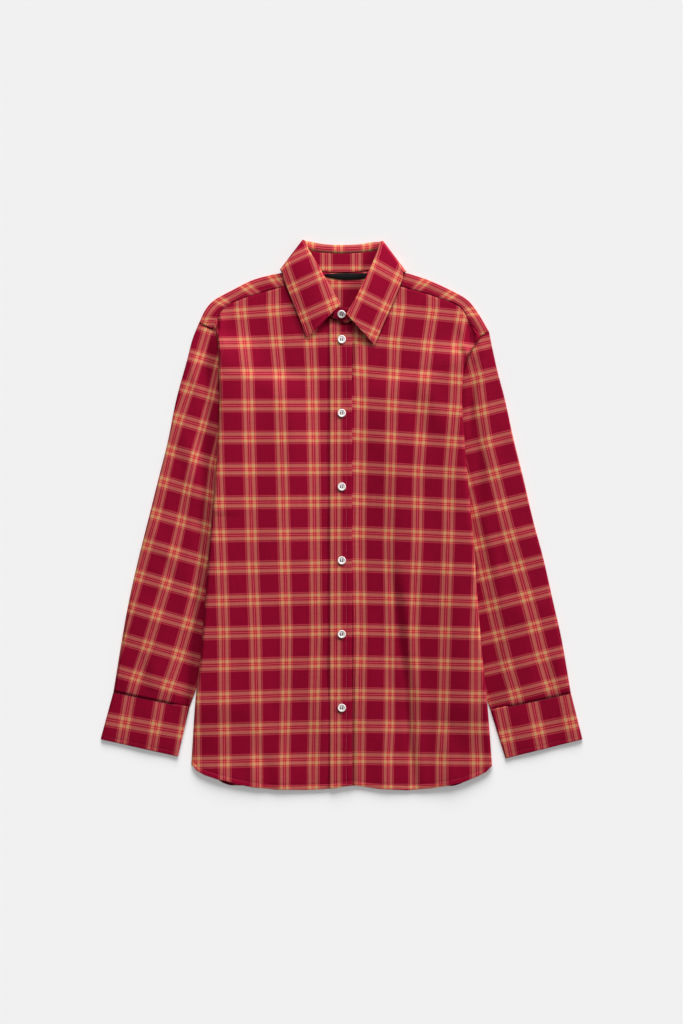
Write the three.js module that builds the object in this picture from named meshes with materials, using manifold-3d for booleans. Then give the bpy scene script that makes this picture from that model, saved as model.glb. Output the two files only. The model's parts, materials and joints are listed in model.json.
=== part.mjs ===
// A long-sleeved plaid shirt, buttoned and laid flat on its back, in millimetres.
// +X runs towards the wearer's left sleeve, +Y towards the collar and +Z up from the surface it lies on.
// Each cut piece is a closed cloth wall, made from a grid of points in the middle of its thickness.
// "out" is a distance from the centre line, the same for both sides of the shirt.
import * as THREE from "three";
import { mergeVertices } from "three/addons/utils/BufferGeometryUtils.js";
import Module from "manifold-3d";

const wasm = await Module();
wasm.setup();

// ---------------------------------------------------------------- driving sizes
const CLOTH = 1.0; // wall of one layer, with its loft
const DOUBLED = 1.4; // wall of placket, cuffs and collar, folded double
const LAY = 0.35; // air between two panels that lie on each other
const SEAM = 0.4; // parting at a sewn seam
const CURVED_SEAM = 0.8; // parting where the two edges are curved

const HALF_PLACKET = 15.65;
const PLACKET_CENTRE = -1.05;
const BUTTON = { across: 11.5, thick: 2.4, hole: 1.7, holeSpacing: 3.2, top: 246, pitch: 103.1, onPlacket: 6 };

const BACK_SEAM_Y = 250; // the yoke's seam across the back
const FOLD_TOP = { open: 215, round: 203 }; // up the side, the fold opens out flat into the armhole

// Heights of the middle of each layer where nothing but the surface is below it, and at the sides.
const LEVEL = { tuckFront: 0.5, tuckBack: 1.95, backSide: 3.9, frontSide: 6.5, back: 0.5, front: 2.65 };
const SLEEVE_UNDER = 2.8; // the sides lie this much higher where a sleeve runs under them
const FRONT_FOLD = (LEVEL.frontSide - LEVEL.tuckFront) / 2;
const BACK_FOLD = (LEVEL.backSide - LEVEL.tuckBack) / 2;
const BACK_INSET = 5.0; // the back's fold lies inside the front's
// Distances inside the end of the tuck between which the panels climb onto it: the front more gently.
const SIDE_SLOPE = { front: 100, back: 34, head: 6 };
const SLOPE_CLEAR = 20; // the front's slope starts no nearer to the centre line

// Distance of the body's side edge from the centre line: the fold, and the armhole above it.
const SIDE_EDGE = [
  { y: -365, right: 209.8, left: 210.6 },
  { y: -346, right: 209.0, left: 210.0 },
  { y: -257, right: 204.3, left: 203.6 },
  { y: -206, right: 198.2, left: 198.0 },
  { y: -112, right: 190.2, left: 190.1 },
  { y: -32, right: 183.8, left: 184.6 },
  { y: 21, right: 179.4, left: 179.4 },
  { y: 105, right: 173.2, left: 172.2 },
  { y: 161, right: 171.0, left: 169.0 },
  { y: 205, right: 171.6, left: 171.5 },
  { y: 220, right: 172.2, left: 176.0 },
  { y: 235, right: 173.2, left: 184.5 },
  { y: 249, right: 175.4, left: 195.4 },
  { y: 260, right: 181.0, left: 197.0 },
  { y: 290, right: 181.5, left: 197.5 },
];

// Width of the side part that is folded under, from the hem to the armhole.
const TUCK = [
  { y: -346, width: 22 },
  { y: -112, width: 58 },
  { y: 60, width: 90 },
  { y: 100, width: 97 },
  { y: 140, width: 88 },
  { y: 170, width: 66 },
  { y: 190, width: 34 },
  { y: 203, width: 0.7 },
  { y: 290, width: 0.7 },
];

// The hem, against the distance from the centre line along the cloth.
const HEM = [
  { out: -16, right: -378.0, left: -380.5 },
  { out: 18, right: -383.0, left: -378.0 },
  { out: 51, right: -384.5, left: -383.0 },
  { out: 91, right: -384.0, left: -385.0 },
  { out: 125, right: -380.5, left: -382.0 },
  { out: 150, right: -376.0, left: -377.7 },
  { out: 171, right: -370.5, left: -373.0 },
  { out: 191, right: -362.0, left: -364.6 },
  { out: 202, right: -355.5, left: -358.0 },
  { out: 209, right: -346.0, left: -349.0 },
  { out: 216, right: -339.0, left: -341.0 },
  { out: 240, right: -326.0, left: -327.0 },
];

// The top edge of each front: the neck curve, then the yoke seam out to the armhole.
const FRONT_TOP = {
  right: [
    { out: -15, y: 271.5 }, { out: 9, y: 274.0 }, { out: 27, y: 286.5 }, { out: 44.5, y: 310.0 },
    { out: 54, y: 328.0 }, { out: 79.6, y: 321.6 }, { out: 131, y: 307.0 }, { out: 156, y: 297.5 },
    { out: 165, y: 290.5 }, { out: 172, y: 281.0 }, { out: 176, y: 272.0 }, { out: 181, y: 260.0 },
  ],
  left: [
    { out: -15, y: 268.5 }, { out: 15, y: 268.5 }, { out: 27, y: 279.5 }, { out: 44.5, y: 305.5 },
    { out: 54, y: 327.0 }, { out: 82, y: 321.6 }, { out: 121, y: 310.5 }, { out: 156, y: 298.2 },
    { out: 165.5, y: 293.0 }, { out: 171.5, y: 286.0 }, { out: 177, y: 274.0 }, { out: 186, y: 262.0 }, { out: 195.4, y: 250.5 },
  ],
};
const ARMHOLE_HOLLOW = { right: 5.4, left: 1.2 }; // how far the yoke's armhole end curves in at the back
const NECK_SIDE = 54; // where neck curve and yoke seam meet, distance from the centre line

// The shoulder's fold, from the neck out to the top of the armhole.
const SHOULDER = {
  right: [
    { out: 66, y: 347.6 }, { out: 78, y: 341.2 }, { out: 88, y: 338.6 }, { out: 100, y: 336.4 },
    { out: 125.4, y: 329.3 }, { out: 153.4, y: 315.3 }, { out: 178.6, y: 301.3 }, { out: 191.2, y: 287.3 },
    { out: 199.7, y: 269.4 },
  ],
  left: [
    { out: 66, y: 347.6 }, { out: 78, y: 341.2 }, { out: 90, y: 339.6 }, { out: 103, y: 335.8 },
    { out: 122.4, y: 329.3 }, { out: 153.2, y: 315.3 }, { out: 177, y: 301.3 }, { out: 192.5, y: 281.5 },
    { out: 206.1, y: 258.2 },
  ],
};

// The armhole seam, from the shoulder down to the underarm, which is hidden under the body.
const ARMHOLE = {
  right: [
    { out: 200.3, y: 268.6 }, { out: 186, y: 262.5 }, { out: 181.6, y: 259.5 }, { out: 177, y: 248.5 },
    { out: 174.5, y: 235 }, { out: 173.4, y: 220 }, { out: 168, y: 203 }, { out: 137, y: 188 },
    { out: 106, y: 168 }, { out: 84, y: 140 }, { out: 75, y: 100 },
  ],
  left: [
    { out: 206.8, y: 257.4 }, { out: 197.2, y: 249 }, { out: 186.2, y: 234 }, { out: 177.4, y: 219 },
    { out: 172.6, y: 210 }, { out: 167, y: 202 }, { out: 137, y: 188 }, { out: 106, y: 168 },
    { out: 84, y: 140 }, { out: 75, y: 100 },
  ],
};

// The sleeve's outer edge, from the shoulder to the cuff.
const SLEEVE_OUTER = {
  right: [
    { out: 200.3, y: 268.6 }, { out: 209.4, y: 245.3 }, { out: 216.6, y: 217 }, { out: 231.8, y: 161.3 },
    { out: 243, y: 105.3 }, { out: 257, y: 49.3 }, { out: 271, y: -6.7 }, { out: 285, y: -62.7 },
    { out: 297.6, y: -118.7 }, { out: 307.8, y: -174.7 }, { out: 319.6, y: -247.6 },
  ],
  left: [
    { out: 206.8, y: 257.4 }, { out: 212, y: 231.3 }, { out: 219, y: 200 }, { out: 229.2, y: 161.3 },
    { out: 241.4, y: 105.3 }, { out: 255.4, y: 49.3 }, { out: 268.4, y: -6.7 }, { out: 283.4, y: -62.7 },
    { out: 296, y: -118.7 }, { out: 308.6, y: -174.7 }, { out: 321.4, y: -249.3 },
  ],
};
const CUFF = {
  right: { seamOuter: [319.6, -247.6], seamInner: [212.9, -269.4], endOuter: [337.5, -313.5], endInner: [229.2, -337.9] },
  left: { seamOuter: [321.4, -249.3], seamInner: [208.6, -273.4], endOuter: [337.5, -313.7], endInner: [229.4, -340.5] },
};

// The collar, one row a section from the centre front round to the centre back. neck is the stand's sewn
// edge, join the seam between stand and leaf, roll the leaf's fold and edge the leaf's free edge.
// turn is how far the section has gone round from facing up (0) to facing down (180 degrees).
const COLLAR = {
  right: [
    { turn: 0, neck: [9, 275.0, 4.9], join: [4.0, 291.8, 10.0], roll: [1.4, 294.2, 12.5], edge: [48.1, 249.2, 7.4] },
    { turn: 0, neck: [27, 288.0, 5.0], join: [17.4, 315.5, 12.5], roll: [14.6, 317.2, 15.2], edge: [57.3, 271.9, 8.2] },
    { turn: 0, neck: [45, 312.0, 5.2], join: [30.8, 338.0, 13.7], roll: [27.9, 339.8, 16.6], edge: [66.6, 295.0, 8.7] },
    { turn: 0, neck: [55.5, 335.0, 6.0], join: [43.6, 359.6, 11.4], roll: [41.1, 362.5, 14.2], edge: [75.9, 318.1, 9.0] },
    { turn: 0, neck: [60.6, 346.5, 6.3], join: [49.7, 371.0, 8.3], roll: [48.6, 375.6, 11.0], edge: [80.4, 331.0, 9.2] },
    { turn: 0, neck: [62.9, 351.3, 6.3], join: [49.5, 374.5, 7.1], roll: [50.4, 382.9, 9.0], edge: [81.5, 338.3, 9.2] },
    { turn: 45, neck: [64.0, 352.2, 5.7], join: [51.0, 375.3, 6.5], roll: [52.5, 384.3, 7.9], edge: [83.9, 340.1, 7.95] },
    { turn: 90, neck: [64.5, 352.5, 4.3], join: [51.6, 375.6, 5.05], roll: [53.4, 384.8, 5.3], edge: [84.9, 340.8, 4.95] },
    { turn: 135, neck: [64.0, 352.2, 2.9], join: [51.0, 375.1, 3.4], roll: [52.5, 384.3, 2.7], edge: [83.9, 340.1, 1.95] },
    { turn: 180, neck: [62.9, 351.3, 2.3], join: [49.3, 373.2, 2.6], roll: [50.4, 382.7, 1.65], edge: [81.5, 338.3, 0.7] },
    { turn: 180, neck: [52.0, 346.5, 2.3], join: [40.0, 369.6, 2.6], roll: [43.0, 381.4, 1.65], edge: [62.0, 334.0, 0.7] },
    { turn: 180, neck: [30.0, 341.8, 2.3], join: [23.0, 367.1, 2.6], roll: [24.0, 379.2, 1.65], edge: [34.0, 331.8, 0.7] },
  ],
  left: [
    { turn: 0, neck: [9, 269.6, 6.3], join: [15.0, 289.2, 10.3], roll: [6.9, 280.6, 14.6], edge: [46.2, 240.6, 7.4] },
    { turn: 0, neck: [26, 283.0, 6.2], join: [23.4, 301.5, 11.9], roll: [18.4, 300.4, 16.0], edge: [56.6, 265.4, 8.2] },
    { turn: 0, neck: [42, 302.0, 6.0], join: [33.2, 324.0, 13.7], roll: [30.2, 323.6, 16.8], edge: [67.6, 290.4, 8.7] },
    { turn: 0, neck: [54, 329.0, 6.0], join: [46.0, 350.0, 11.3], roll: [43.4, 351.6, 14.4], edge: [78.0, 315.2, 9.0] },
    { turn: 0, neck: [60, 344.0, 6.3], join: [52.5, 367.3, 8.3], roll: [51.0, 370.5, 11.0], edge: [84.0, 330.6, 9.2] },
    { turn: 0, neck: [62.9, 351.0, 6.3], join: [52.7, 372.8, 7.1], roll: [53.6, 381.3, 9.0], edge: [85.8, 338.9, 9.2] },
    { turn: 45, neck: [64.0, 352.2, 5.7], join: [54.2, 373.7, 6.5], roll: [56.1, 382.8, 7.9], edge: [88.2, 340.7, 7.95] },
    { turn: 90, neck: [64.5, 352.5, 4.3], join: [54.8, 374.0, 5.05], roll: [57.0, 383.3, 5.3], edge: [89.2, 341.4, 4.95] },
    { turn: 135, neck: [64.0, 352.2, 2.9], join: [54.2, 373.5, 3.4], roll: [56.1, 382.8, 2.7], edge: [88.2, 340.7, 1.95] },
    { turn: 180, neck: [62.9, 351.3, 2.3], join: [52.3, 371.6, 2.6], roll: [53.6, 381.2, 1.65], edge: [85.8, 338.9, 0.7] },
    { turn: 180, neck: [52.0, 346.5, 2.3], join: [42.0, 369.3, 2.6], roll: [43.4, 380.8, 1.65], edge: [62.0, 334.0, 0.7] },
    { turn: 180, neck: [30.0, 341.8, 2.3], join: [23.0, 367.1, 2.6], roll: [24.0, 379.0, 1.65], edge: [34.0, 331.8, 0.7] },
  ],
};
const COLLAR_BACK = { turn: 180, neck: [0, 340.4, 2.3], join: [0, 366.1, 2.6], roll: [0, 378.2, 1.65], edge: [0, 331.0, 0.7] };

const JOIN_GAP = { sharp: 0.8, flat: 0.2, above: 0.35 }; // how far stand and leaf each end from their seam

// The stand runs on past the leaf at the centre front, the left end over the right one.
const STAND_ENDS = {
  right: [
    { neck: [-12, 274.2, 4.9], join: [-10.5, 286, 7.4] },
    { neck: [-3, 273.4, 4.9], join: [-4, 290.5, 8.9] },
  ],
  left: [
    { neck: [-12.5, 276.6, 7.9], join: [-9.5, 288.0, 9.8] },
    { neck: [-1, 271.4, 7.0], join: [0, 291.8, 11.0] },
  ],
};

const SIDE = { right: -1, left: 1 }; // the wearer's right lies at -X

// ---------------------------------------------------------------- small helpers
const lerp = THREE.MathUtils.lerp;

/** 0 below a, 1 above b and smooth between; a may be the larger one. */
function ramp(a, b, x) {
  const t = THREE.MathUtils.clamp((x - a) / (b - a), 0, 1);
  return t * t * (3 - 2 * t);
}

/** Reads column `value` of a table at `key`, straight between its rows. */
function read(rows, keyName, key, value) {
  if (key <= rows[0][keyName]) return rows[0][value];
  for (let i = 1; i < rows.length; i += 1) {
    if (key <= rows[i][keyName]) {
      const t = (key - rows[i - 1][keyName]) / (rows[i][keyName] - rows[i - 1][keyName]);
      return lerp(rows[i - 1][value], rows[i][value], t);
    }
  }
  return rows[rows.length - 1][value];
}

/** A smooth plan curve through a table's rows, read by its length from 0 to 1. */
function planCurve(rows) {
  return new THREE.SplineCurve(rows.map((row) => new THREE.Vector2(row.out, row.y)));
}

/** The same, straight from row to row. */
function planPath(rows) {
  const path = new THREE.CurvePath();
  for (let i = 1; i < rows.length; i += 1) {
    const [a, b] = [rows[i - 1], rows[i]].map((row) => new THREE.Vector2(row.out, row.y));
    path.add(new THREE.LineCurve(a, b));
  }
  return path;
}

/** Reads a table smoothly: the slope at a row is that between its neighbours. */
function smoothAlong(rows, keyName, value) {
  return (key) => {
    const last = rows.length - 1;
    const k = THREE.MathUtils.clamp(key, rows[0][keyName], rows[last][keyName]);
    let i = 0;
    while (i < last - 1 && k > rows[i + 1][keyName]) i += 1;
    const slope = (j) => {
      const a = rows[Math.max(j - 1, 0)];
      const b = rows[Math.min(j + 1, last)];
      return (b[value] - a[value]) / (b[keyName] - a[keyName]);
    };
    const span = rows[i + 1][keyName] - rows[i][keyName];
    const t = (k - rows[i][keyName]) / span;
    const [t2, t3] = [t * t, t * t * t];
    return (2 * t3 - 3 * t2 + 1) * rows[i][value] + (t3 - 2 * t2 + t) * span * slope(i)
      + (-2 * t3 + 3 * t2) * rows[i + 1][value] + (t3 - t2) * span * slope(i + 1);
  };
}

/** A closed wall of even thickness about a grid of points; `ring` joins its last column to its first. */
function wall(grid, thickness, ring = false) {
  const rows = grid.length;
  const columns = grid[0].length;
  const along = new THREE.Vector3();
  const across = new THREE.Vector3();
  const outer = [];
  const inner = [];
  for (let i = 0; i < rows; i += 1) {
    for (let j = 0; j < columns; j += 1) {
      const before = ring ? (j + columns - 1) % columns : Math.max(j - 1, 0);
      const after = ring ? (j + 1) % columns : Math.min(j + 1, columns - 1);
      along.subVectors(grid[Math.min(i + 1, rows - 1)][j], grid[Math.max(i - 1, 0)][j]);
      across.subVectors(grid[i][after], grid[i][before]);
      const normal = new THREE.Vector3().crossVectors(along, across).normalize();
      outer.push(grid[i][j].clone().addScaledVector(normal, thickness / 2));
      inner.push(grid[i][j].clone().addScaledVector(normal, -thickness / 2));
    }
  }
  const points = [...outer, ...inner];
  const shift = outer.length;
  const at = (i, j) => i * columns + (j % columns);
  const faces = [];
  const quad = (a, b, c, d) => faces.push(a, b, c, a, c, d);
  const lastColumn = ring ? columns : columns - 1;
  for (let i = 0; i < rows - 1; i += 1) {
    for (let j = 0; j < lastColumn; j += 1) {
      quad(at(i, j), at(i + 1, j), at(i + 1, j + 1), at(i, j + 1));
      quad(shift + at(i, j), shift + at(i, j + 1), shift + at(i + 1, j + 1), shift + at(i + 1, j));
    }
  }
  for (let j = 0; j < lastColumn; j += 1) {
    quad(at(0, j), at(0, j + 1), shift + at(0, j + 1), shift + at(0, j));
    quad(at(rows - 1, j + 1), at(rows - 1, j), shift + at(rows - 1, j), shift + at(rows - 1, j + 1));
  }
  if (!ring) {
    for (let i = 0; i < rows - 1; i += 1) {
      quad(at(i + 1, 0), at(i, 0), shift + at(i, 0), shift + at(i + 1, 0));
      quad(at(i, columns - 1), at(i + 1, columns - 1), shift + at(i + 1, columns - 1), shift + at(i, columns - 1));
    }
  }
  return facingOut(points, faces);
}

function facingOut(points, faces) {
  let volume = 0;
  for (let f = 0; f < faces.length; f += 3) {
    volume += points[faces[f]].dot(new THREE.Vector3().crossVectors(points[faces[f + 1]], points[faces[f + 2]]));
  }
  if (volume < 0) faces.reverse();
  const geometry = new THREE.BufferGeometry();
  geometry.setAttribute("position", new THREE.Float32BufferAttribute(points.flatMap((p) => p.toArray()), 3));
  geometry.setIndex(faces);
  return geometry;
}

function toManifold(geometry) {
  const plain = geometry.clone();
  plain.deleteAttribute("normal");
  plain.deleteAttribute("uv");
  const merged = mergeVertices(plain, 1e-3);
  return new wasm.Manifold(new wasm.Mesh({
    numProp: 3,
    vertProperties: new Float32Array(merged.attributes.position.array),
    triVerts: new Uint32Array(merged.index.array),
  }));
}

function fromManifold(solid) {
  const mesh = solid.getMesh();
  const geometry = new THREE.BufferGeometry();
  geometry.setAttribute("position", new THREE.BufferAttribute(new Float32Array(mesh.vertProperties), 3));
  geometry.setIndex(new THREE.BufferAttribute(new Uint32Array(mesh.triVerts), 1));
  return geometry;
}

const shirt = new THREE.Group();
const COLOUR = { body: "#8f1a30", sleeve: "#7d1529", cuff: "#a03a45", collar: "#b34a50", label: "#161416", button: "#efedec" };

function addPiece(name, geometry, colour) {
  const glossy = colour === COLOUR.button;
  const material = new THREE.MeshStandardMaterial({ color: colour, roughness: glossy ? 0.35 : 0.85, metalness: 0 });
  const mesh = new THREE.Mesh(geometry, material);
  mesh.name = name;
  shirt.add(mesh);
}

// ---------------------------------------------------------------- how the layers lie
const sideEdge = { right: smoothAlong(SIDE_EDGE, "y", "right"), left: smoothAlong(SIDE_EDGE, "y", "left") };
const tuckWidth = (y) => read(TUCK, "y", y, "width");
const sleeveUnder = (y) => ramp(-300, -264, y) * SLEEVE_UNDER;

/** Where a panel starts to climb onto the folded sides and the sleeves, and where it is up. */
function slopeSpan(side, panel, y) {
  const tuckEnd = sideEdge[side](y) - tuckWidth(y);
  return [Math.max(tuckEnd - SIDE_SLOPE[panel], SLOPE_CLEAR), tuckEnd - SIDE_SLOPE.head];
}

/** 0 over the middle of the body and 1 over the folded sides. */
function sideRise(side, panel, out, y) {
  const [foot, head] = slopeSpan(side, panel, y);
  return ramp(foot, head, out) * ramp(panel === "front" ? 256 : 247, 209, y);
}

/** The collar leaf's back half lies under the neck and lifts what is above it. */
function collarLift(out, y) {
  return ramp(303, 326, y) * ramp(118, 96, out);
}

function backHeight(side, out, y) {
  const atSide = LEVEL.backSide + sleeveUnder(y);
  return lerp(LEVEL.back, atSide, sideRise(side, "back", out, y)) + 1.75 * collarLift(out, y);
}

function frontHeight(side, out, y) {
  const atSide = LEVEL.frontSide + sleeveUnder(y);
  return lerp(LEVEL.front, atSide, sideRise(side, "front", out, y)) + 1.5 * collarLift(out, y);
}

// ---------------------------------------------------------------- body panels
/**
 * A point of a body panel. zone "middle" runs from the centre line to the foot of the slope at the side,
 * "slope" up it, "side" on to the fold, "fold" round it and "tuck" along the part that is folded under;
 * f goes from 0 to 1 through the zone.
 */
function bodyPoint(side, panel, centre, zone, f, y) {
  const isFront = panel === "front";
  const curl = ramp(FOLD_TOP.open, FOLD_TOP.round, y); // 0 flat at the armhole, 1 folded right round
  const turn = Math.max(Math.PI * curl, 0.02);
  const radius = isFront ? FRONT_FOLD : BACK_FOLD;
  const bend = lerp(2.2, Math.PI * radius, curl ** 1.5) / turn;
  const tuck = tuckWidth(y);
  const reach = turn < Math.PI / 2 ? bend * Math.sin(turn) + tuck * Math.cos(turn) : bend;
  const inset = CLOTH / 2 + (isFront ? 0 : BACK_INSET * curl);
  const edge = sideEdge[side](y);
  const start = edge - inset - reach;
  const [foot, head] = slopeSpan(side, panel, y);
  const span = { middle: [centre, foot], slope: [foot, head], side: [head, start] }[zone];
  const height = isFront ? frontHeight : backHeight;
  if (span) {
    const out = lerp(span[0], span[1], f);
    return new THREE.Vector3(out, y, height(side, Math.abs(out), y));
  }
  const angle = zone === "fold" ? turn * f : turn;
  const past = zone === "fold" ? 0 : tuck * f;
  const out = start + bend * Math.sin(angle) + past * Math.cos(turn);
  const z = height(side, start, y) - bend * (1 - Math.cos(angle)) - past * Math.sin(turn);
  return new THREE.Vector3(out, y, z);
}

/** The hem under a column, read at the column's distance from the centre along the cloth. */
function hemAt(side, panel, centre, zone, f) {
  const level = -346;
  const flat = zone !== "fold" && zone !== "tuck";
  const start = bodyPoint(side, "front", centre, "side", 1, level).x;
  const halfFold = Math.PI * FRONT_FOLD / 2;
  const distance = flat
    ? bodyPoint(side, "front", centre, zone, f, level).x
    : start + (zone === "fold" ? halfFold * f : halfFold + tuckWidth(level) * f);
  const lift = panel === "back" ? 2.5 : 0; // the back's hem lies just inside the front's
  return read(HEM, "out", distance, side) + lift;
}

/** Where a column meets the panel's top edge, found by halving. */
function topAt(side, centre, zone, f) {
  let [low, high] = [240, 335];
  for (let n = 0; n < 40; n += 1) {
    const middle = (low + high) / 2;
    const out = bodyPoint(side, "front", centre, zone, f, middle).x;
    if (middle < read(FRONT_TOP[side], "out", out, "y")) low = middle;
    else high = middle;
  }
  return low;
}

/** Heights of a column's points: the same for all columns but for those next to the hem and the top. */
function columnLevels(hem, top) {
  const lowest = -315;
  const highest = 238;
  return [
    hem, lerp(hem, lowest, 0.3), lerp(hem, lowest, 0.65), lowest, -300, -288, -276, -264,
    -200, -130, -60, 10, 70, 115, 150, 175, 190, 203, 207, 211, 215, 226, highest, lerp(highest, top, 0.5), top,
  ];
}

const spread = (count) => Array.from({ length: count }, (_, i) => (i + 1) / count);

function panelColumns(centre, middle, slope) {
  const zone = (name, fractions) => fractions.map((f) => ({ centre, zone: name, f }));
  return [
    ...zone("middle", [0, ...spread(middle)]), ...zone("slope", spread(slope)), ...zone("side", [0.5, 1]),
    ...zone("fold", spread(4)), ...zone("tuck", [0.12, 1]),
  ];
}

function columnPoints(side, panel, column, top) {
  const { centre, zone, f } = column;
  const hem = hemAt(side, panel, centre, zone, f);
  return columnLevels(hem, top).map((y) => {
    const point = bodyPoint(side, panel, centre, zone, f, y);
    point.x *= SIDE[side];
    return point;
  });
}

function turned(columns) {
  return columns[0].map((_, i) => columns.map((column) => column[i]));
}

function frontPanel(side, centre) {
  const columns = panelColumns(centre, 3, 7).map((column) => {
    const top = topAt(side, centre, column.zone, column.f);
    return columnPoints(side, "front", column, top);
  });
  return wall(turned(columns), CLOTH);
}

const PLACKET_EDGE = PLACKET_CENTRE + HALF_PLACKET;
addPiece("front_right", frontPanel("right", -PLACKET_EDGE + SEAM), COLOUR.body);
addPiece("front_left", frontPanel("left", PLACKET_EDGE + SEAM), COLOUR.body);

function backPanel() {
  const half = (side) => panelColumns(0, 2, 4)
    .map((column) => columnPoints(side, "back", column, BACK_SEAM_Y - SEAM));
  const columns = [...half("right").reverse(), ...half("left").slice(1)];
  return wall(turned(columns), CLOTH);
}
addPiece("back_panel", backPanel(), COLOUR.body);

// ---------------------------------------------------------------- placket
function placket() {
  const fractions = [-1, -0.5, 0, 0.5, 1];
  const levels = [0, 0.03, 0.1, 0.2, 0.35, 0.5, 0.65, 0.8, 0.92, 1];
  const columns = fractions.map((k) => {
    const x = PLACKET_CENTRE + k * HALF_PLACKET;
    const hem = x < 0 ? read(HEM, "out", -x, "right") : read(HEM, "out", x, "left");
    const top = 268.2 + 1.6 * k * k;
    return levels.map((f) => {
      const y = lerp(hem, top, f);
      const z = frontHeight("right", Math.abs(x), y) + CLOTH / 2 + LAY + DOUBLED / 2;
      return new THREE.Vector3(x, y, z);
    });
  });
  return wall(turned(columns), DOUBLED);
}
addPiece("placket", placket(), COLOUR.cuff);

// ---------------------------------------------------------------- yoke
/** One side: from the back seam up to the shoulder, round its fold and down to the front seam. */
function yokeSide(side) {
  const shoulder = planCurve(SHOULDER[side]);
  const seam = planPath(FRONT_TOP[side].filter((row) => row.out >= NECK_SIDE));
  const leftOf = (v) => new THREE.Vector2(-v.y, v.x).normalize();
  const columns = [0, 0.1, 0.2, 0.32, 0.44, 0.56, 0.66, 0.74, 0.8, 0.85, 0.9, 0.95, 1].map((s) => {
    const crest = shoulder.getPointAt(s);
    const outward = leftOf(shoulder.getTangentAt(s));
    const front = seam.getPointAt(s).addScaledVector(leftOf(seam.getTangentAt(s)), CURVED_SEAM);
    const edge = sideEdge[side](BACK_SEAM_Y);
    const back = new THREE.Vector2(lerp(60, edge - CLOTH / 2, s), BACK_SEAM_Y);
    const low = backHeight(side, crest.x, crest.y);
    const high = frontHeight(side, crest.x, crest.y);
    const radius = (high - low) / 2;
    const fold = crest.clone().addScaledVector(outward, -CLOTH / 2 - radius);
    const points = [];
    const hollow = leftOf(fold.clone().sub(back)).multiplyScalar(ARMHOLE_HOLLOW[side] * s ** 6);
    for (const t of [0, 0.25, 0.5, 0.75, 1]) {
      const p = back.clone().lerp(fold, t).addScaledVector(hollow, 4 * t * (1 - t));
      points.push(new THREE.Vector3(p.x, p.y, backHeight(side, p.x, p.y)));
    }
    for (const degrees of [45, 90, 135]) {
      const a = THREE.MathUtils.degToRad(degrees);
      const p = fold.clone().addScaledVector(outward, radius * Math.sin(a));
      points.push(new THREE.Vector3(p.x, p.y, low + radius * (1 - Math.cos(a))));
    }
    for (const t of [0, 0.35, 0.7, 1]) {
      const p = fold.clone().lerp(front, t);
      points.push(new THREE.Vector3(p.x, p.y, frontHeight(side, p.x, p.y)));
    }
    for (const p of points) p.x *= SIDE[side];
    return points;
  });
  return wall(columns, CLOTH);
}

/** The middle of the yoke's back, up to the neck curve, overlapping both sides a little. */
function yokeMiddle() {
  const columns = [-1, -0.8, -0.55, -0.28, 0, 0.28, 0.55, 0.8, 1].map((k) => {
    const neck = 339.4 + 7.2 * k * k;
    return [0, 0.3, 0.55, 0.7, 0.85, 1].map((t) => {
      const y = lerp(BACK_SEAM_Y, neck, t);
      const halfWidth = 60.8 + 6 * (y - BACK_SEAM_Y) / (347.6 - BACK_SEAM_Y);
      const x = k * halfWidth;
      return new THREE.Vector3(x, y, backHeight("left", Math.abs(x), y));
    });
  });
  return wall(turned(columns), CLOTH);
}
const yoke = [yokeSide("right"), yokeSide("left")].reduce((sum, part) => sum.add(toManifold(part)), toManifold(yokeMiddle()));
addPiece("yoke", fromManifold(yoke), COLOUR.body);

// ---------------------------------------------------------------- sleeves and cuffs
function sleeveHeight(side, out, y) {
  const beyond = out - sideEdge[side](Math.min(y, 225));
  const loft = ramp(4, 42, beyond) * ramp(262, 215, y);
  const atSeam = ramp(205, 236, y);
  return 1.85 + 0.8 * atSeam + lerp(2.2, 1.4, atSeam) * loft;
}

/** A flattened tube: `plan(u, s)` gives its upper layer's plan, u along it and s from outer to inner edge. */
function flatTube(side, plan, us, upper, lower, topHeight, floorHeight, thickness) {
  return us.map((u) => {
    const edgePoint = (s, inward) => {
      const edge = plan(u, s);
      const outward = edge.clone().sub(plan(u, inward)).normalize();
      const high = topHeight(edge.x, edge.y);
      const radius = (high - floorHeight) / 2;
      const base = edge.clone().addScaledVector(outward, -thickness / 2 - radius);
      return { outward, radius, base };
    };
    const round = (edge, degrees) => degrees.map((deg) => {
      const a = THREE.MathUtils.degToRad(deg);
      const p = edge.base.clone().addScaledVector(edge.outward, edge.radius * Math.sin(a));
      return new THREE.Vector3(p.x, p.y, floorHeight + edge.radius * (1 - Math.cos(a)));
    });
    const outerEdge = edgePoint(0, 0.04);
    const innerEdge = edgePoint(1, 0.96);
    const top = upper.map((s) => {
      const p = plan(u, s);
      return new THREE.Vector3(p.x, p.y, topHeight(p.x, p.y));
    });
    const bottom = lower.map((s) => {
      const p = plan(u, s);
      return new THREE.Vector3(p.x, p.y, floorHeight);
    });
    const ring = [
      ...round(outerEdge, [0, 60, 120, 180]), ...top,
      ...round(innerEdge, [180, 90, 0]), ...bottom,
    ];
    for (const p of ring) p.x *= SIDE[side];
    return ring;
  });
}

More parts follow.
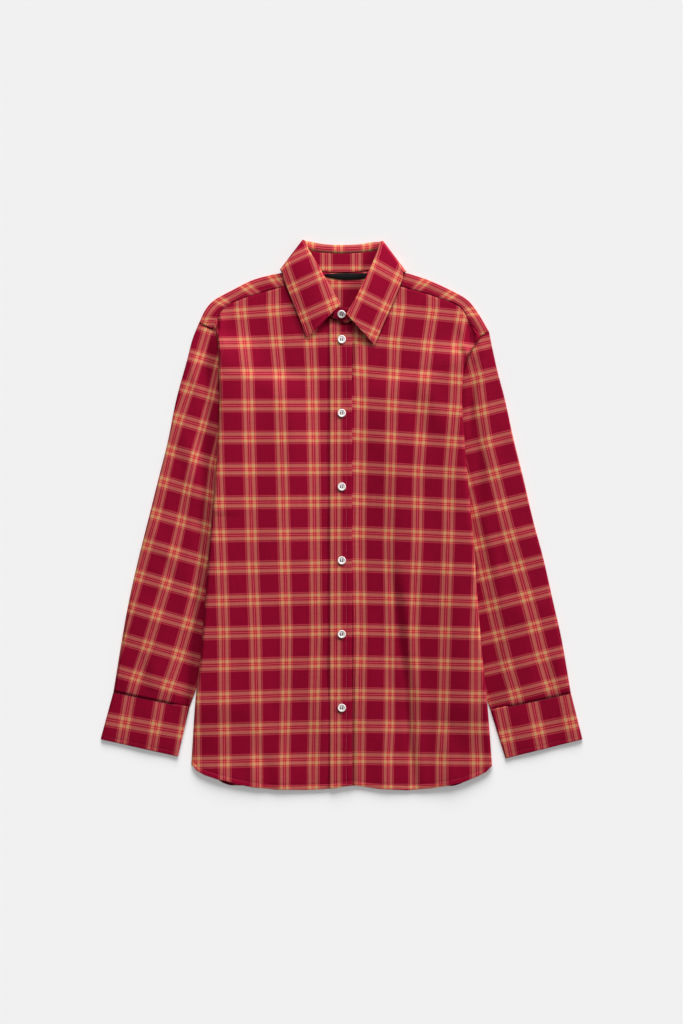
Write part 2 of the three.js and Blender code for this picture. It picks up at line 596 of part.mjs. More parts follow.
/** The patch between a sleeve's two edges, its armhole and its cuff line. */
function sleevePlan(side) {
  const outer = planCurve(SLEEVE_OUTER[side]);
  const armhole = planCurve(ARMHOLE[side]);
  const under = ARMHOLE[side][ARMHOLE[side].length - 1];
  const cuff = CUFF[side];
  const inner = new THREE.LineCurve(new THREE.Vector2(under.out, under.y), new THREE.Vector2(...cuff.seamInner));
  const wrist = new THREE.LineCurve(new THREE.Vector2(...cuff.seamOuter), new THREE.Vector2(...cuff.seamInner));
  return (u, s) => {
    const point = new THREE.Vector2();
    point.addScaledVector(outer.getPointAt(u), 1 - s);
    point.addScaledVector(inner.getPoint(u), s);
    point.addScaledVector(armhole.getPointAt(s), 1 - u);
    point.addScaledVector(wrist.getPoint(s), u);
    point.addScaledVector(outer.getPoint(0), -(1 - u) * (1 - s));
    point.addScaledVector(inner.getPoint(0), -(1 - u) * s);
    point.addScaledVector(wrist.getPoint(0), -u * (1 - s));
    point.addScaledVector(wrist.getPoint(1), -u * s);
    return point;
  };
}

function sleeve(side) {
  const plan = sleevePlan(side);
  const us = [0, 0.02, 0.045, 0.08, 0.13, 0.2, 0.28, 0.37, 0.46, 0.55, 0.64, 0.73, 0.82, 0.9, 0.96, 1];
  const upper = [0.06, 0.12, 0.19, 0.26, 0.34, 0.43, 0.53, 0.65, 0.78, 0.9];
  const lower = [0.9, 0.7, 0.5, 0.34, 0.26, 0.19, 0.12, 0.06];
  const rings = flatTube(side, plan, us, upper, lower, (out, y) => sleeveHeight(side, out, y), LEVEL.back, CLOTH);
  return wall(rings, CLOTH, true);
}

function cuff(side) {
  const { seamOuter, seamInner, endOuter, endInner } = CUFF[side];
  const corner = [seamOuter, seamInner, endOuter, endInner].map((p) => new THREE.Vector2(...p));
  const length = corner[0].distanceTo(corner[2]);
  const plan = (u, s) => {
    const start = SEAM * 1.5 / length;
    const along = lerp(start, 1, u);
    const outer = corner[0].clone().lerp(corner[2], along);
    const inner = corner[1].clone().lerp(corner[3], along);
    return outer.lerp(inner, s);
  };
  const middle = [0.12, 0.3, 0.5, 0.7, 0.88];
  const rings = flatTube(side, plan, [0, 0.33, 0.66, 1], middle, [...middle].reverse(), () => 3.9, DOUBLED / 2, DOUBLED);
  return wall(rings, DOUBLED, true);
}

for (const side of ["right", "left"]) {
  addPiece(`sleeve_${side}`, sleeve(side), COLOUR.sleeve);
  addPiece(`cuff_${side}`, cuff(side), COLOUR.cuff);
}

// ---------------------------------------------------------------- collar
function collarStations() {
  const place = (side) => COLLAR[side].map((row) => {
    const point = ([x, y, z]) => new THREE.Vector3(x * SIDE[side], y, z);
    return { side, turn: row.turn, neck: point(row.neck), join: point(row.join), roll: point(row.roll), edge: point(row.edge) };
  });
  const vector = (p) => new THREE.Vector3(...p);
  const back = {
    side: "left", turn: 180, neck: vector(COLLAR_BACK.neck), join: vector(COLLAR_BACK.join),
    roll: vector(COLLAR_BACK.roll), edge: vector(COLLAR_BACK.edge),
  };
  return [...place("right"), back, ...place("left").reverse()];
}

/** Up for the front half of the collar, outward at its shoulder fold and down for the back half. */
function facing(station) {
  const a = THREE.MathUtils.degToRad(station.turn);
  const outward = new THREE.Vector3(0.81 * SIDE[station.side], 0.58, 0);
  return new THREE.Vector3(0, 0, Math.cos(a)).addScaledVector(outward, Math.sin(a));
}

function collarLeaf() {
  const radius = 0.95; // of the roll
  const sections = collarStations().map((station) => {
    const up = facing(station);
    const middle = station.join.clone().lerp(station.edge, 0.5);
    const tip = station.roll.clone().sub(middle);
    tip.addScaledVector(up, -tip.dot(up)).normalize();
    const centre = station.roll.clone().addScaledVector(tip, -radius);
    const arc = [-90, -45, 0, 45, 90].map((degrees) => {
      const a = THREE.MathUtils.degToRad(degrees);
      return centre.clone().addScaledVector(tip, radius * Math.cos(a)).addScaledVector(up, radius * Math.sin(a));
    });
    const gap = station.turn < 180 ? JOIN_GAP.sharp : JOIN_GAP.flat;
    const start = station.join.clone().addScaledVector(arc[0].clone().sub(station.join).normalize(), gap);
    if (station.turn === 0) start.addScaledVector(up, JOIN_GAP.above);
    const bulge = station.turn === 0 ? 1.6 : 0;
    const fall = [0.14, 0.3, 0.48, 0.66, 0.84, 1].map((t) => (
      arc[4].clone().lerp(station.edge, t).addScaledVector(up, bulge * 4 * t * (1 - t))
    ));
    return [start, start.clone().lerp(arc[0], 0.5), ...arc, ...fall];
  });
  return wall(sections, DOUBLED);
}
addPiece("collar_leaf", collarLeaf(), COLOUR.collar);

function collarStand() {
  const stations = collarStations();
  const ends = (side) => STAND_ENDS[side].map((row) => {
    const point = ([x, y, z]) => new THREE.Vector3(x * SIDE[side], y, z);
    return { turn: 0, neck: point(row.neck), join: point(row.join) };
  });
  const all = [...ends("right"), ...stations, ...ends("left").reverse()];
  const sections = all.map((s) => {
    const rise = s.join.clone().sub(s.neck);
    const gap = s.turn < 180 ? JOIN_GAP.sharp : JOIN_GAP.flat;
    const top = 1 - gap / rise.length();
    return [0, 0.33, 0.66, top].map((t) => s.neck.clone().addScaledVector(rise, t));
  });
  return wall(sections, DOUBLED - 0.2);
}
addPiece("collar_stand", collarStand(), COLOUR.collar);

// ---------------------------------------------------------------- neck label
function neckLabel() {
  const centre = 7;
  const half = 31;
  const columns = [-1, -0.75, -0.5, -0.25, 0, 0.25, 0.5, 0.75, 1].map((k) => {
    const x = centre + k * half;
    const upper = 338.6 - 0.4 * k * k;
    const lower = 329.6 + 6.0 * k * k;
    return [0, 0.5, 1].map((t) => {
      const y = lerp(lower, upper, t);
      return new THREE.Vector3(x, y, backHeight("left", Math.abs(x), y) + CLOTH + LAY);
    });
  });
  return wall(turned(columns), CLOTH);
}
addPiece("neck_label", neckLabel(), COLOUR.label);

// ---------------------------------------------------------------- buttons
/** A flat button with a raised rim and four holes, standing on z = 0. */
function button() {
  const radius = BUTTON.across / 2;
  const profile = [
    [0, 0], [radius - 1.2, 0], [radius, 1.0], [radius - 0.2, BUTTON.thick - 0.3], [radius - 1.0, BUTTON.thick],
    [radius - 1.9, BUTTON.thick - 0.6], [0, BUTTON.thick - 0.7],
  ].map(([r, z]) => new THREE.Vector2(r, z));
  const disc = new THREE.LatheGeometry(profile, 14).rotateX(Math.PI / 2);
  let solid = toManifold(disc);
  for (const [i, j] of [[-1, -1], [1, -1], [-1, 1], [1, 1]]) {
    const hole = new THREE.CylinderGeometry(BUTTON.hole / 2, BUTTON.hole / 2, 8, 5).rotateX(Math.PI / 2);
    hole.translate(i * BUTTON.holeSpacing / 2, j * BUTTON.holeSpacing / 2, 0);
    solid = solid.subtract(toManifold(hole));
  }
  return fromManifold(solid);
}

const buttonGeometry = button();
const placketTop = LEVEL.front + CLOTH / 2 + LAY + DOUBLED;
for (let n = 0; n <= BUTTON.onPlacket; n += 1) {
  const geometry = buttonGeometry.clone();
  if (n === 0) {
    geometry.rotateX(THREE.MathUtils.degToRad(11)).translate(0.1, 282.4, 10.45);
  } else {
    geometry.translate(0.3, BUTTON.top - (n - 1) * BUTTON.pitch, placketTop + 0.3);
  }
  addPiece(`button_${n + 1}`, geometry, COLOUR.button);
}

export default shirt;
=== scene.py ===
"""A long-sleeved plaid poplin shirt, buttoned and laid flat on its back.

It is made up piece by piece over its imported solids: fronts, back, placket, yoke, sleeves, cuffs,
collar, label and buttons. Sizes are in millimetres and each mesh is written in metres. "out" is a
distance from the shirt's centre line, the same for both sides; the wearer's right lies at -X.
"""
import json
import math

import bmesh
import bpy
import numpy as np
from mathutils import Matrix, Vector

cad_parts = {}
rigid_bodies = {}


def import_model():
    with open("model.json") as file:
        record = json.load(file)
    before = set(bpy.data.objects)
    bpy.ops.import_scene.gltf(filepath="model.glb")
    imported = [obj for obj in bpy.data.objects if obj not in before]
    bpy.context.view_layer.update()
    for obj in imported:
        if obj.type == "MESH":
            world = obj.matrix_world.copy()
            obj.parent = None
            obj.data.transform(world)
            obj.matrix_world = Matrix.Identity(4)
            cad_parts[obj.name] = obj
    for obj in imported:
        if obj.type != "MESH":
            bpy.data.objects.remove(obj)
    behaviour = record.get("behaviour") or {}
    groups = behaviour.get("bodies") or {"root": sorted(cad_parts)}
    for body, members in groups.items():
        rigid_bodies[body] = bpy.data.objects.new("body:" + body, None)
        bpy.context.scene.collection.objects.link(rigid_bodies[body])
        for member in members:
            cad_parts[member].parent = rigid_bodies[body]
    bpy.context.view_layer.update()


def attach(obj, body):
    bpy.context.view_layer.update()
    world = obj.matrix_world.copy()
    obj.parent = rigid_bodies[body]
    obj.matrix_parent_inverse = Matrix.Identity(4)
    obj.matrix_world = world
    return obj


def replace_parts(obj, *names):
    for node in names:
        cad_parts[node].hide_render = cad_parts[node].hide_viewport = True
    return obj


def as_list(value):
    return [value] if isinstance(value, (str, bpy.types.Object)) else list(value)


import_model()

# ------------------------------------------------------------ camera, table and light
# The shirt lies on a smooth off-white table and is seen from straight above. The light comes mostly
# from beyond the collar, with a bright white room round it.
MM = 0.001
# All in metres. The table is so wide that its edge stays out of sight from low down.
TABLE = {"reach": 20.0, "z": -0.0002}
CAMERA = {"x": 0, "y": 0.0045, "z": 3.388, "far": 60}
LAMP = {"y": 0.95, "z": 0.55, "across": 0.7, "deep": 0.3, "aim_y": 0.05}
scene = bpy.context.scene
scene.view_settings.view_transform = "Standard"


def placed(name, data, location=(0, 0, 0)):
    """A new object in the scene."""
    made = bpy.data.objects.new(name, data)
    made.location = location
    scene.collection.objects.link(made)
    return made


def linear(hex_colour):
    """An sRGB colour such as #87102b as linear values."""
    parts = [int(hex_colour[i:i + 2], 16) / 255 for i in (1, 3, 5)]
    return (*(c / 12.92 if c <= 0.04045 else ((c + 0.055) / 1.055) ** 2.4 for c in parts), 1.0)


def set_inputs(tree, node, inputs):
    """Sets a node's inputs to values, or links them to sockets. in0, in1 ... name them by place."""
    for name, value in inputs.items():
        by_place = name[:2] == "in" and name[2:].isdigit()
        socket = node.inputs[int(name[2:]) if by_place else name]
        if isinstance(value, bpy.types.NodeSocket):
            tree.links.new(value, socket)
        else:
            socket.default_value = value


def add_node(tree, kind, settings=None, **inputs):
    """A new node of this kind with these settings and inputs."""
    node = tree.nodes.new(kind)
    for name, value in (settings or {}).items():
        setattr(node, name, value)
    set_inputs(tree, node, inputs)
    return node


def new_material(name):
    """A material, its node tree and its surface."""
    material = bpy.data.materials.new(name)
    material.use_nodes = True
    tree = material.node_tree
    return material, tree, tree.nodes["Principled BSDF"]


COLOURS = {"data_type": "RGBA"}

camera_data = bpy.data.cameras.new("camera_over_table")
camera_data.lens, camera_data.sensor_width, camera_data.clip_end = 85, 36, CAMERA["far"]
scene.camera = placed("camera_over_table", camera_data, (CAMERA["x"], CAMERA["y"], CAMERA["z"]))

# Painted board: dead matt and even, so it takes the soft shadow and shows nothing of its own.
board, tree, surface = new_material("matt_painted_board")
board_wear = add_node(tree, "ShaderNodeTexNoise", Scale=40.0, Detail=3.0)
board_tone = add_node(tree, "ShaderNodeMix", COLOURS, in0=board_wear.outputs[0],
                      in6=linear("#f3f3f3"), in7=linear("#f4f4f4"))
set_inputs(tree, surface, {"Base Color": board_tone.outputs[2],
                           "Roughness": 0.9, "Specular IOR Level": 0.1})
table_mesh = bpy.data.meshes.new("table")
table_mesh.from_pydata([(x * TABLE["reach"], y * TABLE["reach"], TABLE["z"])
                        for x, y in ((-1, -1), (1, -1), (1, 1), (-1, 1))], [], [(0, 1, 2, 3)])
table_mesh.materials.append(board)
table = placed("table", table_mesh)

room = bpy.data.worlds.new("white_room")
room.use_nodes = True
set_inputs(room.node_tree, room.node_tree.nodes["Background"], {"Color": (1, 1, 1, 1), "Strength": 0.20})
scene.world = room


def lit_pieces(name, state):
    """A light's receivers: the table alone (INCLUDE) or all but the table (EXCLUDE)."""
    receivers = bpy.data.collections.new(name)
    receivers.objects.link(table)
    receivers.collection_objects[0].light_linking.link_state = state
    return receivers


def sun(name, strength, spread_angle, lean, turn, receivers):
    """Parallel light: it leans from the vertical towards the collar, turned clockwise (degrees)."""
    data = bpy.data.lights.new(name, "SUN")
    data.energy = strength * math.pi / math.cos(math.radians(lean))
    data.angle = math.radians(spread_angle)
    lamp = placed(name, data)
    lamp.rotation_euler = (math.radians(-lean), 0, math.radians(-turn))
    lamp.light_linking.receiver_collection = receivers


# The table's light runs from the collar to the hem, so only the lower edges cast a shadow on it. The
# cloth is raked from beyond the left shoulder, and a lamp past the collar fades towards the hem.
table_alone, shirt_alone = lit_pieces("table_alone", "INCLUDE"), lit_pieces("shirt_alone", "EXCLUDE")
sun("light_on_table", 0.54, 36, 61, 0, table_alone)
sun("light_over_table", 0.235, 20, 2, 0, table_alone)
sun("light_across_cloth", 0.35, 14, 69, 54, shirt_alone)
sun("light_past_collar", 0.255, 8, 62, 6, shirt_alone)
lamp_data = bpy.data.lights.new("lamp_past_collar", "AREA")
lamp_data.shape, lamp_data.size, lamp_data.size_y = "RECTANGLE", LAMP["across"], LAMP["deep"]
lamp_data.energy = 4.6
lamp_past_collar = placed("lamp_past_collar", lamp_data, (0, LAMP["y"], LAMP["z"]))
from_aim = Vector((0, LAMP["y"] - LAMP["aim_y"], LAMP["z"]))
lamp_past_collar.rotation_euler = from_aim.to_track_quat("Z", "Y").to_euler()
lamp_past_collar.light_linking.receiver_collection = shirt_alone

# ------------------------------------------------------------ the poplin
# Yarn-dyed cotton poplin, about 115 g a square metre: burgundy ground, with the same group of tan and
# light red yarns in warp and weft, every 44.8 mm. Both faces look alike; it is matt with a faint lustre.
REPEAT = 44.8
WEAVE = 0.9  # real threads lie 0.2 mm apart, too fine to show
# What the eye sees where a yarn of the ground, tan or light red crosses each of the three.
CROSSING = (("#850326", "#b0574e", "#bc444b"), ("#b0574e", "#c19465", "#df7c5c"),
            ("#bc444b", "#df7c5c", "#e0593f"))
# The group from its middle outwards: where each band ends, and how much tan and light red it has.
SETT = ((0.65, 0.0, 1.0), (1.9, 0.0, 0.05), (3.0, 0.2, 0.8), (6.9, 1.0, 0.0), (7.9, 0.0, 0.08),
        (9.5, 0.0, 0.54))

poplin, tree, surface = new_material("yarn_dyed_cotton_poplin")
cloth_place = add_node(tree, "ShaderNodeUVMap", {"uv_map": "cloth"}).outputs[0]
cloth_axes = add_node(tree, "ShaderNodeSeparateXYZ", in0=cloth_place).outputs


def yarn_bands(coordinate):
    """Shares of tan and light red among the yarns of one direction, from the coordinate across them."""
    folded = add_node(tree, "ShaderNodeMath", {"operation": "PINGPONG"}, in0=coordinate, in1=0.5)
    ramp_node = add_node(tree, "ShaderNodeValToRGB", in0=folded.outputs[0])
    bands = ramp_node.color_ramp
    bands.interpolation = "CONSTANT"
    start = 0.0
    for i, (end, tan, red) in enumerate(SETT):
        stop = bands.elements[0] if i == 0 else bands.elements.new(start)
        stop.position, stop.color = start, (tan, red, 0, 1)
        start = end / REPEAT
    bands.elements[-1].position, bands.elements[-1].color = start, (0, 0, 0, 1)
    shares = add_node(tree, "ShaderNodeSeparateColor", in0=ramp_node.outputs[0])
    return shares.outputs[0], shares.outputs[1]


def crossed(shares, over_ground, over_tan, over_red):
    """The colour over the yarns of one direction, from their shares and the colour over each kind."""
    striped = add_node(tree, "ShaderNodeMix", COLOURS, in0=shares[0], in6=over_ground, in7=over_tan)
    done = add_node(tree, "ShaderNodeMix", COLOURS, in0=shares[1], in6=striped.outputs[2], in7=over_red)
    return done.outputs[2]


yarns_across, yarns_along = (yarn_bands(cloth_axes[k]) for k in (0, 1))
plaid = crossed(yarns_across, *(crossed(yarns_along, *map(linear, row)) for row in CROSSING))

# Yarns differ a little in shade along their length: streaks 1.3 mm wide, many times as long.
streaks = []
for stretch in ((34.0, 1.6, 1.0), (1.6, 34.0, 1.0)):
    stretched = add_node(tree, "ShaderNodeMapping", in0=cloth_place, Scale=stretch)
    streaks.append(add_node(tree, "ShaderNodeTexNoise", Vector=stretched.outputs[0], Scale=1.0, Detail=2.0))
streak = add_node(tree, "ShaderNodeMath", {"operation": "ADD"}, in0=streaks[0].outputs[0],
                  in1=streaks[1].outputs[0])
shade = add_node(tree, "ShaderNodeMapRange", in0=streak.outputs[0], in1=0.7, in2=1.3, in3=0.90, in4=1.10)
toned = add_node(tree, "ShaderNodeHueSaturation", in2=shade.outputs[0], in4=plaid)

# The weave goes over and under both ways; under it the cloth keeps slight crumples.
weave_scale = add_node(tree, "ShaderNodeVectorMath", {"operation": "SCALE"}, in0=cloth_place,
                       Scale=2 * math.pi * REPEAT / WEAVE)
weave_axes = add_node(tree, "ShaderNodeSeparateXYZ", in0=weave_scale.outputs[0]).outputs
waves = [add_node(tree, "ShaderNodeMath", {"operation": "SINE"}, in0=weave_axes[k]) for k in (0, 1)]
over_under = add_node(tree, "ShaderNodeMath", {"operation": "MULTIPLY"}, in0=waves[0].outputs[0],
                      in1=waves[1].outputs[0])
cloth_object_place = add_node(tree, "ShaderNodeTexCoord")
crumple = add_node(tree, "ShaderNodeTexNoise", Vector=cloth_object_place.outputs["Object"], Scale=42.0,
                   Detail=3.0, Roughness=0.5)
weave_bump = add_node(tree, "ShaderNodeBump", Strength=0.25, Distance=0.0002, Height=over_under.outputs[0])
crumple_bump = add_node(tree, "ShaderNodeBump", Strength=0.35, Distance=0.0012, Height=crumple.outputs[0],
                        Normal=weave_bump.outputs[0])
set_inputs(tree, surface, {
    "Base Color": toned.outputs[0], "Normal": crumple_bump.outputs[0],
    "Roughness": 0.78, "Specular IOR Level": 0.06,
    "Sheen Weight": 0.02, "Sheen Roughness": 0.4, "Sheen Tint": linear("#e8b0b0")})

# ------------------------------------------------------------ the two fronts
# Each front is one flat piece of poplin, cut with a curved shirt-tail hem. Its side part is turned
# under, onto the back, and both lie over the sleeves. The hem is turned up 6 mm and stitched.
SIDE = {"right": -1, "left": 1}  # the sign of x on each side
COLUMN = {"right": 1, "left": 2}  # each side's column in a table that has both
CLOTH, DOUBLED = 1.0, 1.4  # thickness of one layer and of doubled cloth, with their loft
LAY = 0.35  # air between two panels that lie on each other
SHELL, DOUBLE_SHELL = 0.5, 1.0  # the same two thicknesses where the cloth is drawn
# Heights of the middle of each layer, where nothing is below it but the table, and at the sides.
LEVEL = {"back": 0.5, "front": 2.65, "backSide": 3.9, "frontSide": 6.5}
SLEEVE_UNDER = 2.8  # a sleeve lifts the sides by this much
OVER_COLLAR = {"front": 1.5, "back": 1.75}  # and the collar's back half lifts the neck
FOLD = {"front": 3.0, "back": 0.975}  # radius of the turned-under side
BACK_INSET = 5.0  # the back's fold lies inside the front's
HEM_INSET = {"front": 0, "back": 5.5}  # and so does its hem
FLATTENS = (215, 203)  # up the side, the fold opens out flat into the armhole between these y
SLOPE_START = {"front": 100, "back": 34}  # how far inside the turned-under part a panel climbs onto it
SLOPE_TOP = {"front": 256, "back": 247}  # and y where it no longer does
SLOPE_HEAD = 6  # it is up on it this far inside its end
SLOPE_CLEAR = 20  # and the slope starts no nearer to the centre line
PLACKET = {"centre": -1.05, "half": 15.65, "stitch": 7.85}
HEM_STITCH = 6.4
SIDE_FOOT_Y = -346.0
BACK_SEAM_Y = 250


def by_side(right, left):
    return {"right": np.array(right, float), "left": np.array(left, float)}


# y, then how far out the body's side lies on the right and on the left
SIDE_EDGE = np.array([
    (-365, 211.2, 211.2), (-346, 210.4, 210.6), (-257, 204.3, 203.6), (-206, 198.2, 198.0),
    (-112, 190.2, 190.1), (-32, 183.8, 184.6), (21, 179.4, 179.4), (105, 173.2, 172.2), (161, 171.0, 169.0),
    (205, 171.6, 171.5), (220, 172.2, 176.0), (235, 173.2, 184.5), (249, 175.4, 195.4), (260, 181.0, 197.0),
    (290, 181.5, 197.5),
])
# y, and the width turned under
TUCK = np.array([
    (-346, 22), (-112, 58), (60, 90), (100, 97), (140, 88), (170, 66), (190, 34), (203, 0.7), (290, 0.7),
])
# distance out along the cloth, then y of the hem on the right and on the left
HEM = np.array([
    (-16, -378.0, -380.5), (18, -383.0, -378.0), (51, -384.5, -383.0), (91, -384.0, -385.0),
    (125, -380.5, -382.0), (150, -375.3, -377.7), (160, -371.8, -375.4), (171, -370.0, -373.0),
    (191, -363.4, -364.6), (202, -357.5, -359.0), (209, -349.0, -351.0), (216, -341.0, -342.0),
    (240, -327.0, -327.0),
])
# out and y of each front's top edge: the neck, then the yoke seam, then the armhole
FRONT_TOP = by_side(
    right=[
        (-15, 271.5), (9, 274), (27, 286.5), (44.5, 310), (54, 328), (79.6, 321.6), (131, 307),
        (156, 297.5), (165, 290.5), (172, 281), (176, 272), (181, 260)],
    left=[
        (-15, 268.5), (15, 268.5), (27, 279.5), (44.5, 305.5), (54, 327), (82, 321.6), (121, 310.5),
        (156, 298.2), (165.5, 293), (171.5, 286), (177, 274), (186, 262), (195.4, 250.5)])
# Where the stripe groups run down each front: y, then how far out the first to fifth group lies.
FRONT_STRIPES = by_side(
    right=[
        (290, 45, 95.6, 140.9, 186, 231), (198, 41.0, 86.9, 131.1, 176, 220),
        (49, 38.3, 82.0, 127.5, 172.3, 214), (-60, 37.2, 79.3, 124.8, 167.8, 211),
        (-166, 36.0, 76.4, 120.5, 164.7, 207), (-255, 37.9, 77.6, 118.6, 164.4, 204.6),
        (-354, 40.0, 80.0, 117.6, 163.6, 204)],
    left=[
        (290, 27.0, 80.9, 129.0, 169.5, 214), (243, 26.0, 74.4, 121.9, 161.5, 206),
        (198, 27.6, 73.0, 116.8, 159.5, 204), (161, 28.2, 70.8, 114.0, 158.4, 202),
        (63, 27.2, 68.5, 107.0, 150.9, 195), (-35, 26.5, 65.8, 105.6, 148.8, 193),
        (-166, 27.8, 68.2, 100.0, 144.8, 187.7), (-295, 25.8, 67.8, 102.8, 141.2, 187.7),
        (-339, 25.8, 65.5, 101.2, 138.5, 190.3)])
# y of the rows at 100 mm out, against the row's number, and how much the rows drop outwards there
FRONT_ROWS = by_side(
    right=[
        (-342.8, 14, 0.022), (-298.0, 13, 0.024), (-118.0, 9, 0.02), (-27.4, 7, 0.012), (64.2, 5, 0.006),
        (197.9, 2, 0.006), (242.9, 1, 0.03), (285.9, 0, 0.075)],
    left=[
        (-340.8, 14, 0.012), (-118.0, 9, 0.028), (62.3, 5, 0.058), (151.2, 3, 0.076), (195.2, 2, 0.088),
        (239.0, 1, 0.09), (284.8, 0, 0.095)])
# Ridges and troughs: out and y of one end and the other, half width, and height.
FRONT_CREASES = by_side(
    right=[
        (134, 250, 168, 196, 8, -1.0), (150, 262, 166, 214, 7, 1.0), (118, 205, 150, 120, 16, 1.0),
        (76, -120, 104, -300, 16, -1.0), (100, -205, 112, -330, 12, 1.3), (60, -250, 40, -372, 13, -1.1),
        (30, -240, 25, -380, 12, 1.2), (150, -60, 160, -330, 18, 0.8), (92, 60, 120, -60, 22, 0.7),
        (128, -330, 120, -390, 10, 1.2), (88, -320, 84, -390, 11, 1.4)],
    left=[
        (108, 186, 150, 118, 15, 2.0), (90, 170, 128, 100, 14, -1.0), (64, -60, 92, -240, 7, -1.9),
        (84, -70, 108, -250, 9, 2.2), (92, -240, 100, -385, 6, -1.6), (110, -230, 114, -385, 10, 1.9),
        (40, 30, 44, -330, 15, 1.1), (150, -40, 160, -280, 20, 1.0), (140, 60, 168, -20, 12, -0.9),
        (66, -300, 62, -390, 10, 1.4), (150, -310, 146, -388, 12, 1.3), (116, 150, 126, 40, 18, 0.8)])
# Pinched folds where each front meets its armhole, over a local fullness.
ARMHOLE_FOLDS = by_side(
    right=[
        (182, 282, 179.5, 258, 3.4, 2.6), (173.2, 284, 173.8, 260, 1.9, -5.0),
        (172, 264, 180, 256, 2.2, -4.6), (177.5, 262, 175, 246, 2.2, -4.8), (164, 282, 168, 240, 4.5, 0.9)],
    left=[
        (176.5, 272, 183, 228, 4.4, -6.8), (182, 262, 182, 238, 3.4, -3.4), (168, 270, 170, 226, 4.0, 1.6),
        (192, 262, 195, 250, 3.4, 1.4), (168, 242, 184, 214, 3.6, 2.4)])
# The fullness of each front: by the fold above and below the waist, where it fades at the shoulder,
# and how far out the armhole's lies.
FRONT_FULLNESS = {"right": (4.2, 3.2, 262, 236, 177), "left": (3.2, 3.2, 248, 216, 186)}
FRONT_LOFT_SEED = {"right": 5, "left": 3}
MIDDLE, SLOPE, SIDE_FLAT, TURN, TUCKED = range(5)  # a panel's zones, from the centre outwards


def ramp(a, b, x):
    """0 below a, 1 above b and smooth between; a may be the larger one."""
    t = np.clip((x - a) / (b - a), 0, 1)
    return t * t * (3 - 2 * t)


def lerp(a, b, t):
    return a + (b - a) * t


def hump(distance, half_width):
    """A rounded ridge: 1 in its middle and almost 0 at twice its half width."""
    return np.exp(-((distance / half_width) ** 2))


def hermite(a, b, leaving, arriving, t):
    """A smooth curve from a to b that leaves and arrives at these slopes."""
    return ((2 * a - 2 * b + leaving + arriving) * t**3 + (3 * b - 3 * a - 2 * leaving - arriving) * t**2
            + leaving * t + a)


def as_points(*axes):
    """Arrays of coordinates as one array of points."""
    return np.stack(np.broadcast_arrays(*axes), axis=-1)


def read(table, key, column=1):
    """Reads a column of a table at this key, straight between its rows."""
    return np.interp(key, table[:, 0], table[:, column])


def side_edge(side, y):
    """How far out the body's side lies, smoothly: the slope at a row is that between its neighbours."""
    ys, outs = SIDE_EDGE[:, 0], SIDE_EDGE[:, COLUMN[side]]
    slopes = np.gradient(outs, ys, edge_order=1)
    slopes[1:-1] = (outs[2:] - outs[:-2]) / (ys[2:] - ys[:-2])
    level = np.clip(y, ys[0], ys[-1])
    i = np.clip(np.searchsorted(ys, level) - 1, 0, len(ys) - 2)
    span = ys[i + 1] - ys[i]
    return hermite(outs[i], outs[i + 1], span * slopes[i], span * slopes[i + 1], (level - ys[i]) / span)


def slope_ends(side, panel, y):
    """How far out a panel starts to climb onto its side part, and where the turned-under part ends."""
    tuck_end = side_edge(side, y) - read(TUCK, y)
    return np.maximum(tuck_end - SLOPE_START[panel], SLOPE_CLEAR), tuck_end


def panel_height(side, panel, out, y):
    """The middle of a body panel's thickness, over whatever lies below it."""
    foot, tuck_end = slope_ends(side, panel, y)
    rise = ramp(foot, tuck_end - SLOPE_HEAD, out) * ramp(SLOPE_TOP[panel], 209, y)
    at_side = LEVEL[panel + "Side"] + ramp(-300, -264, y) * SLEEVE_UNDER
    over_collar = OVER_COLLAR[panel] * ramp(303, 326, y) * ramp(118, 96, out)
    return lerp(LEVEL[panel], at_side, rise) + over_collar


def panel_sheet(side, panel, centre, zone, f, y):
    """Out and height of a body panel's points, and their distance out along the cloth."""
    curl = ramp(*FLATTENS, y)
    turn = np.maximum(np.pi * curl, 0.02)
    bend = lerp(2.2, np.pi * FOLD[panel], curl**1.5) / turn
    foot, tuck_end = slope_ends(side, panel, y)
    tuck = read(TUCK, y)
    reach = np.where(turn < np.pi / 2, bend * np.sin(turn) + tuck * np.cos(turn), bend)
    inset = CLOTH / 2 + (BACK_INSET * curl if panel == "back" else 0)
    start = side_edge(side, y) - inset - reach
    head = tuck_end - SLOPE_HEAD - 10 * ramp(212, 236, y)  # points lie closer together by the armhole
    ends = [centre + 0 * y, foot, head, start]
    flat = lerp(np.choose(np.minimum(zone, 2), ends[:3]), np.choose(np.minimum(zone, 2), ends[1:]), f)
    angle = np.where(zone == TURN, turn * f, turn)
    past = np.where(zone == TUCKED, tuck * f, 0)
    is_flat = zone <= SIDE_FLAT
    out = np.where(is_flat, flat, start + bend * np.sin(angle) + past * np.cos(turn))
    top = panel_height(side, panel, np.where(is_flat, np.abs(flat), start), y)
    z = np.where(is_flat, top, top - bend * (1 - np.cos(angle)) - past * np.sin(turn))
    return out, z, np.where(is_flat, flat, start + bend * angle + past)


def relief(creases, out, y):
    """The height of soft ridges and troughs, which wander a little and fade at both ends."""
    total = np.zeros_like(out)
    for x0, y0, x1, y1, width, height in creases:
        dx, dy = x1 - x0, y1 - y0
        length = math.hypot(dx, dy)
        along = ((out - x0) * dx + (y - y0) * dy) / length**2
        across = ((out - x0) * dy - (y - y0) * dx) / length + 0.35 * width * np.sin(3.1 * along + x0)
        total += height * ramp(-0.15, 0.3, along) * ramp(1.15, 0.7, along) * hump(across, width)
    return total


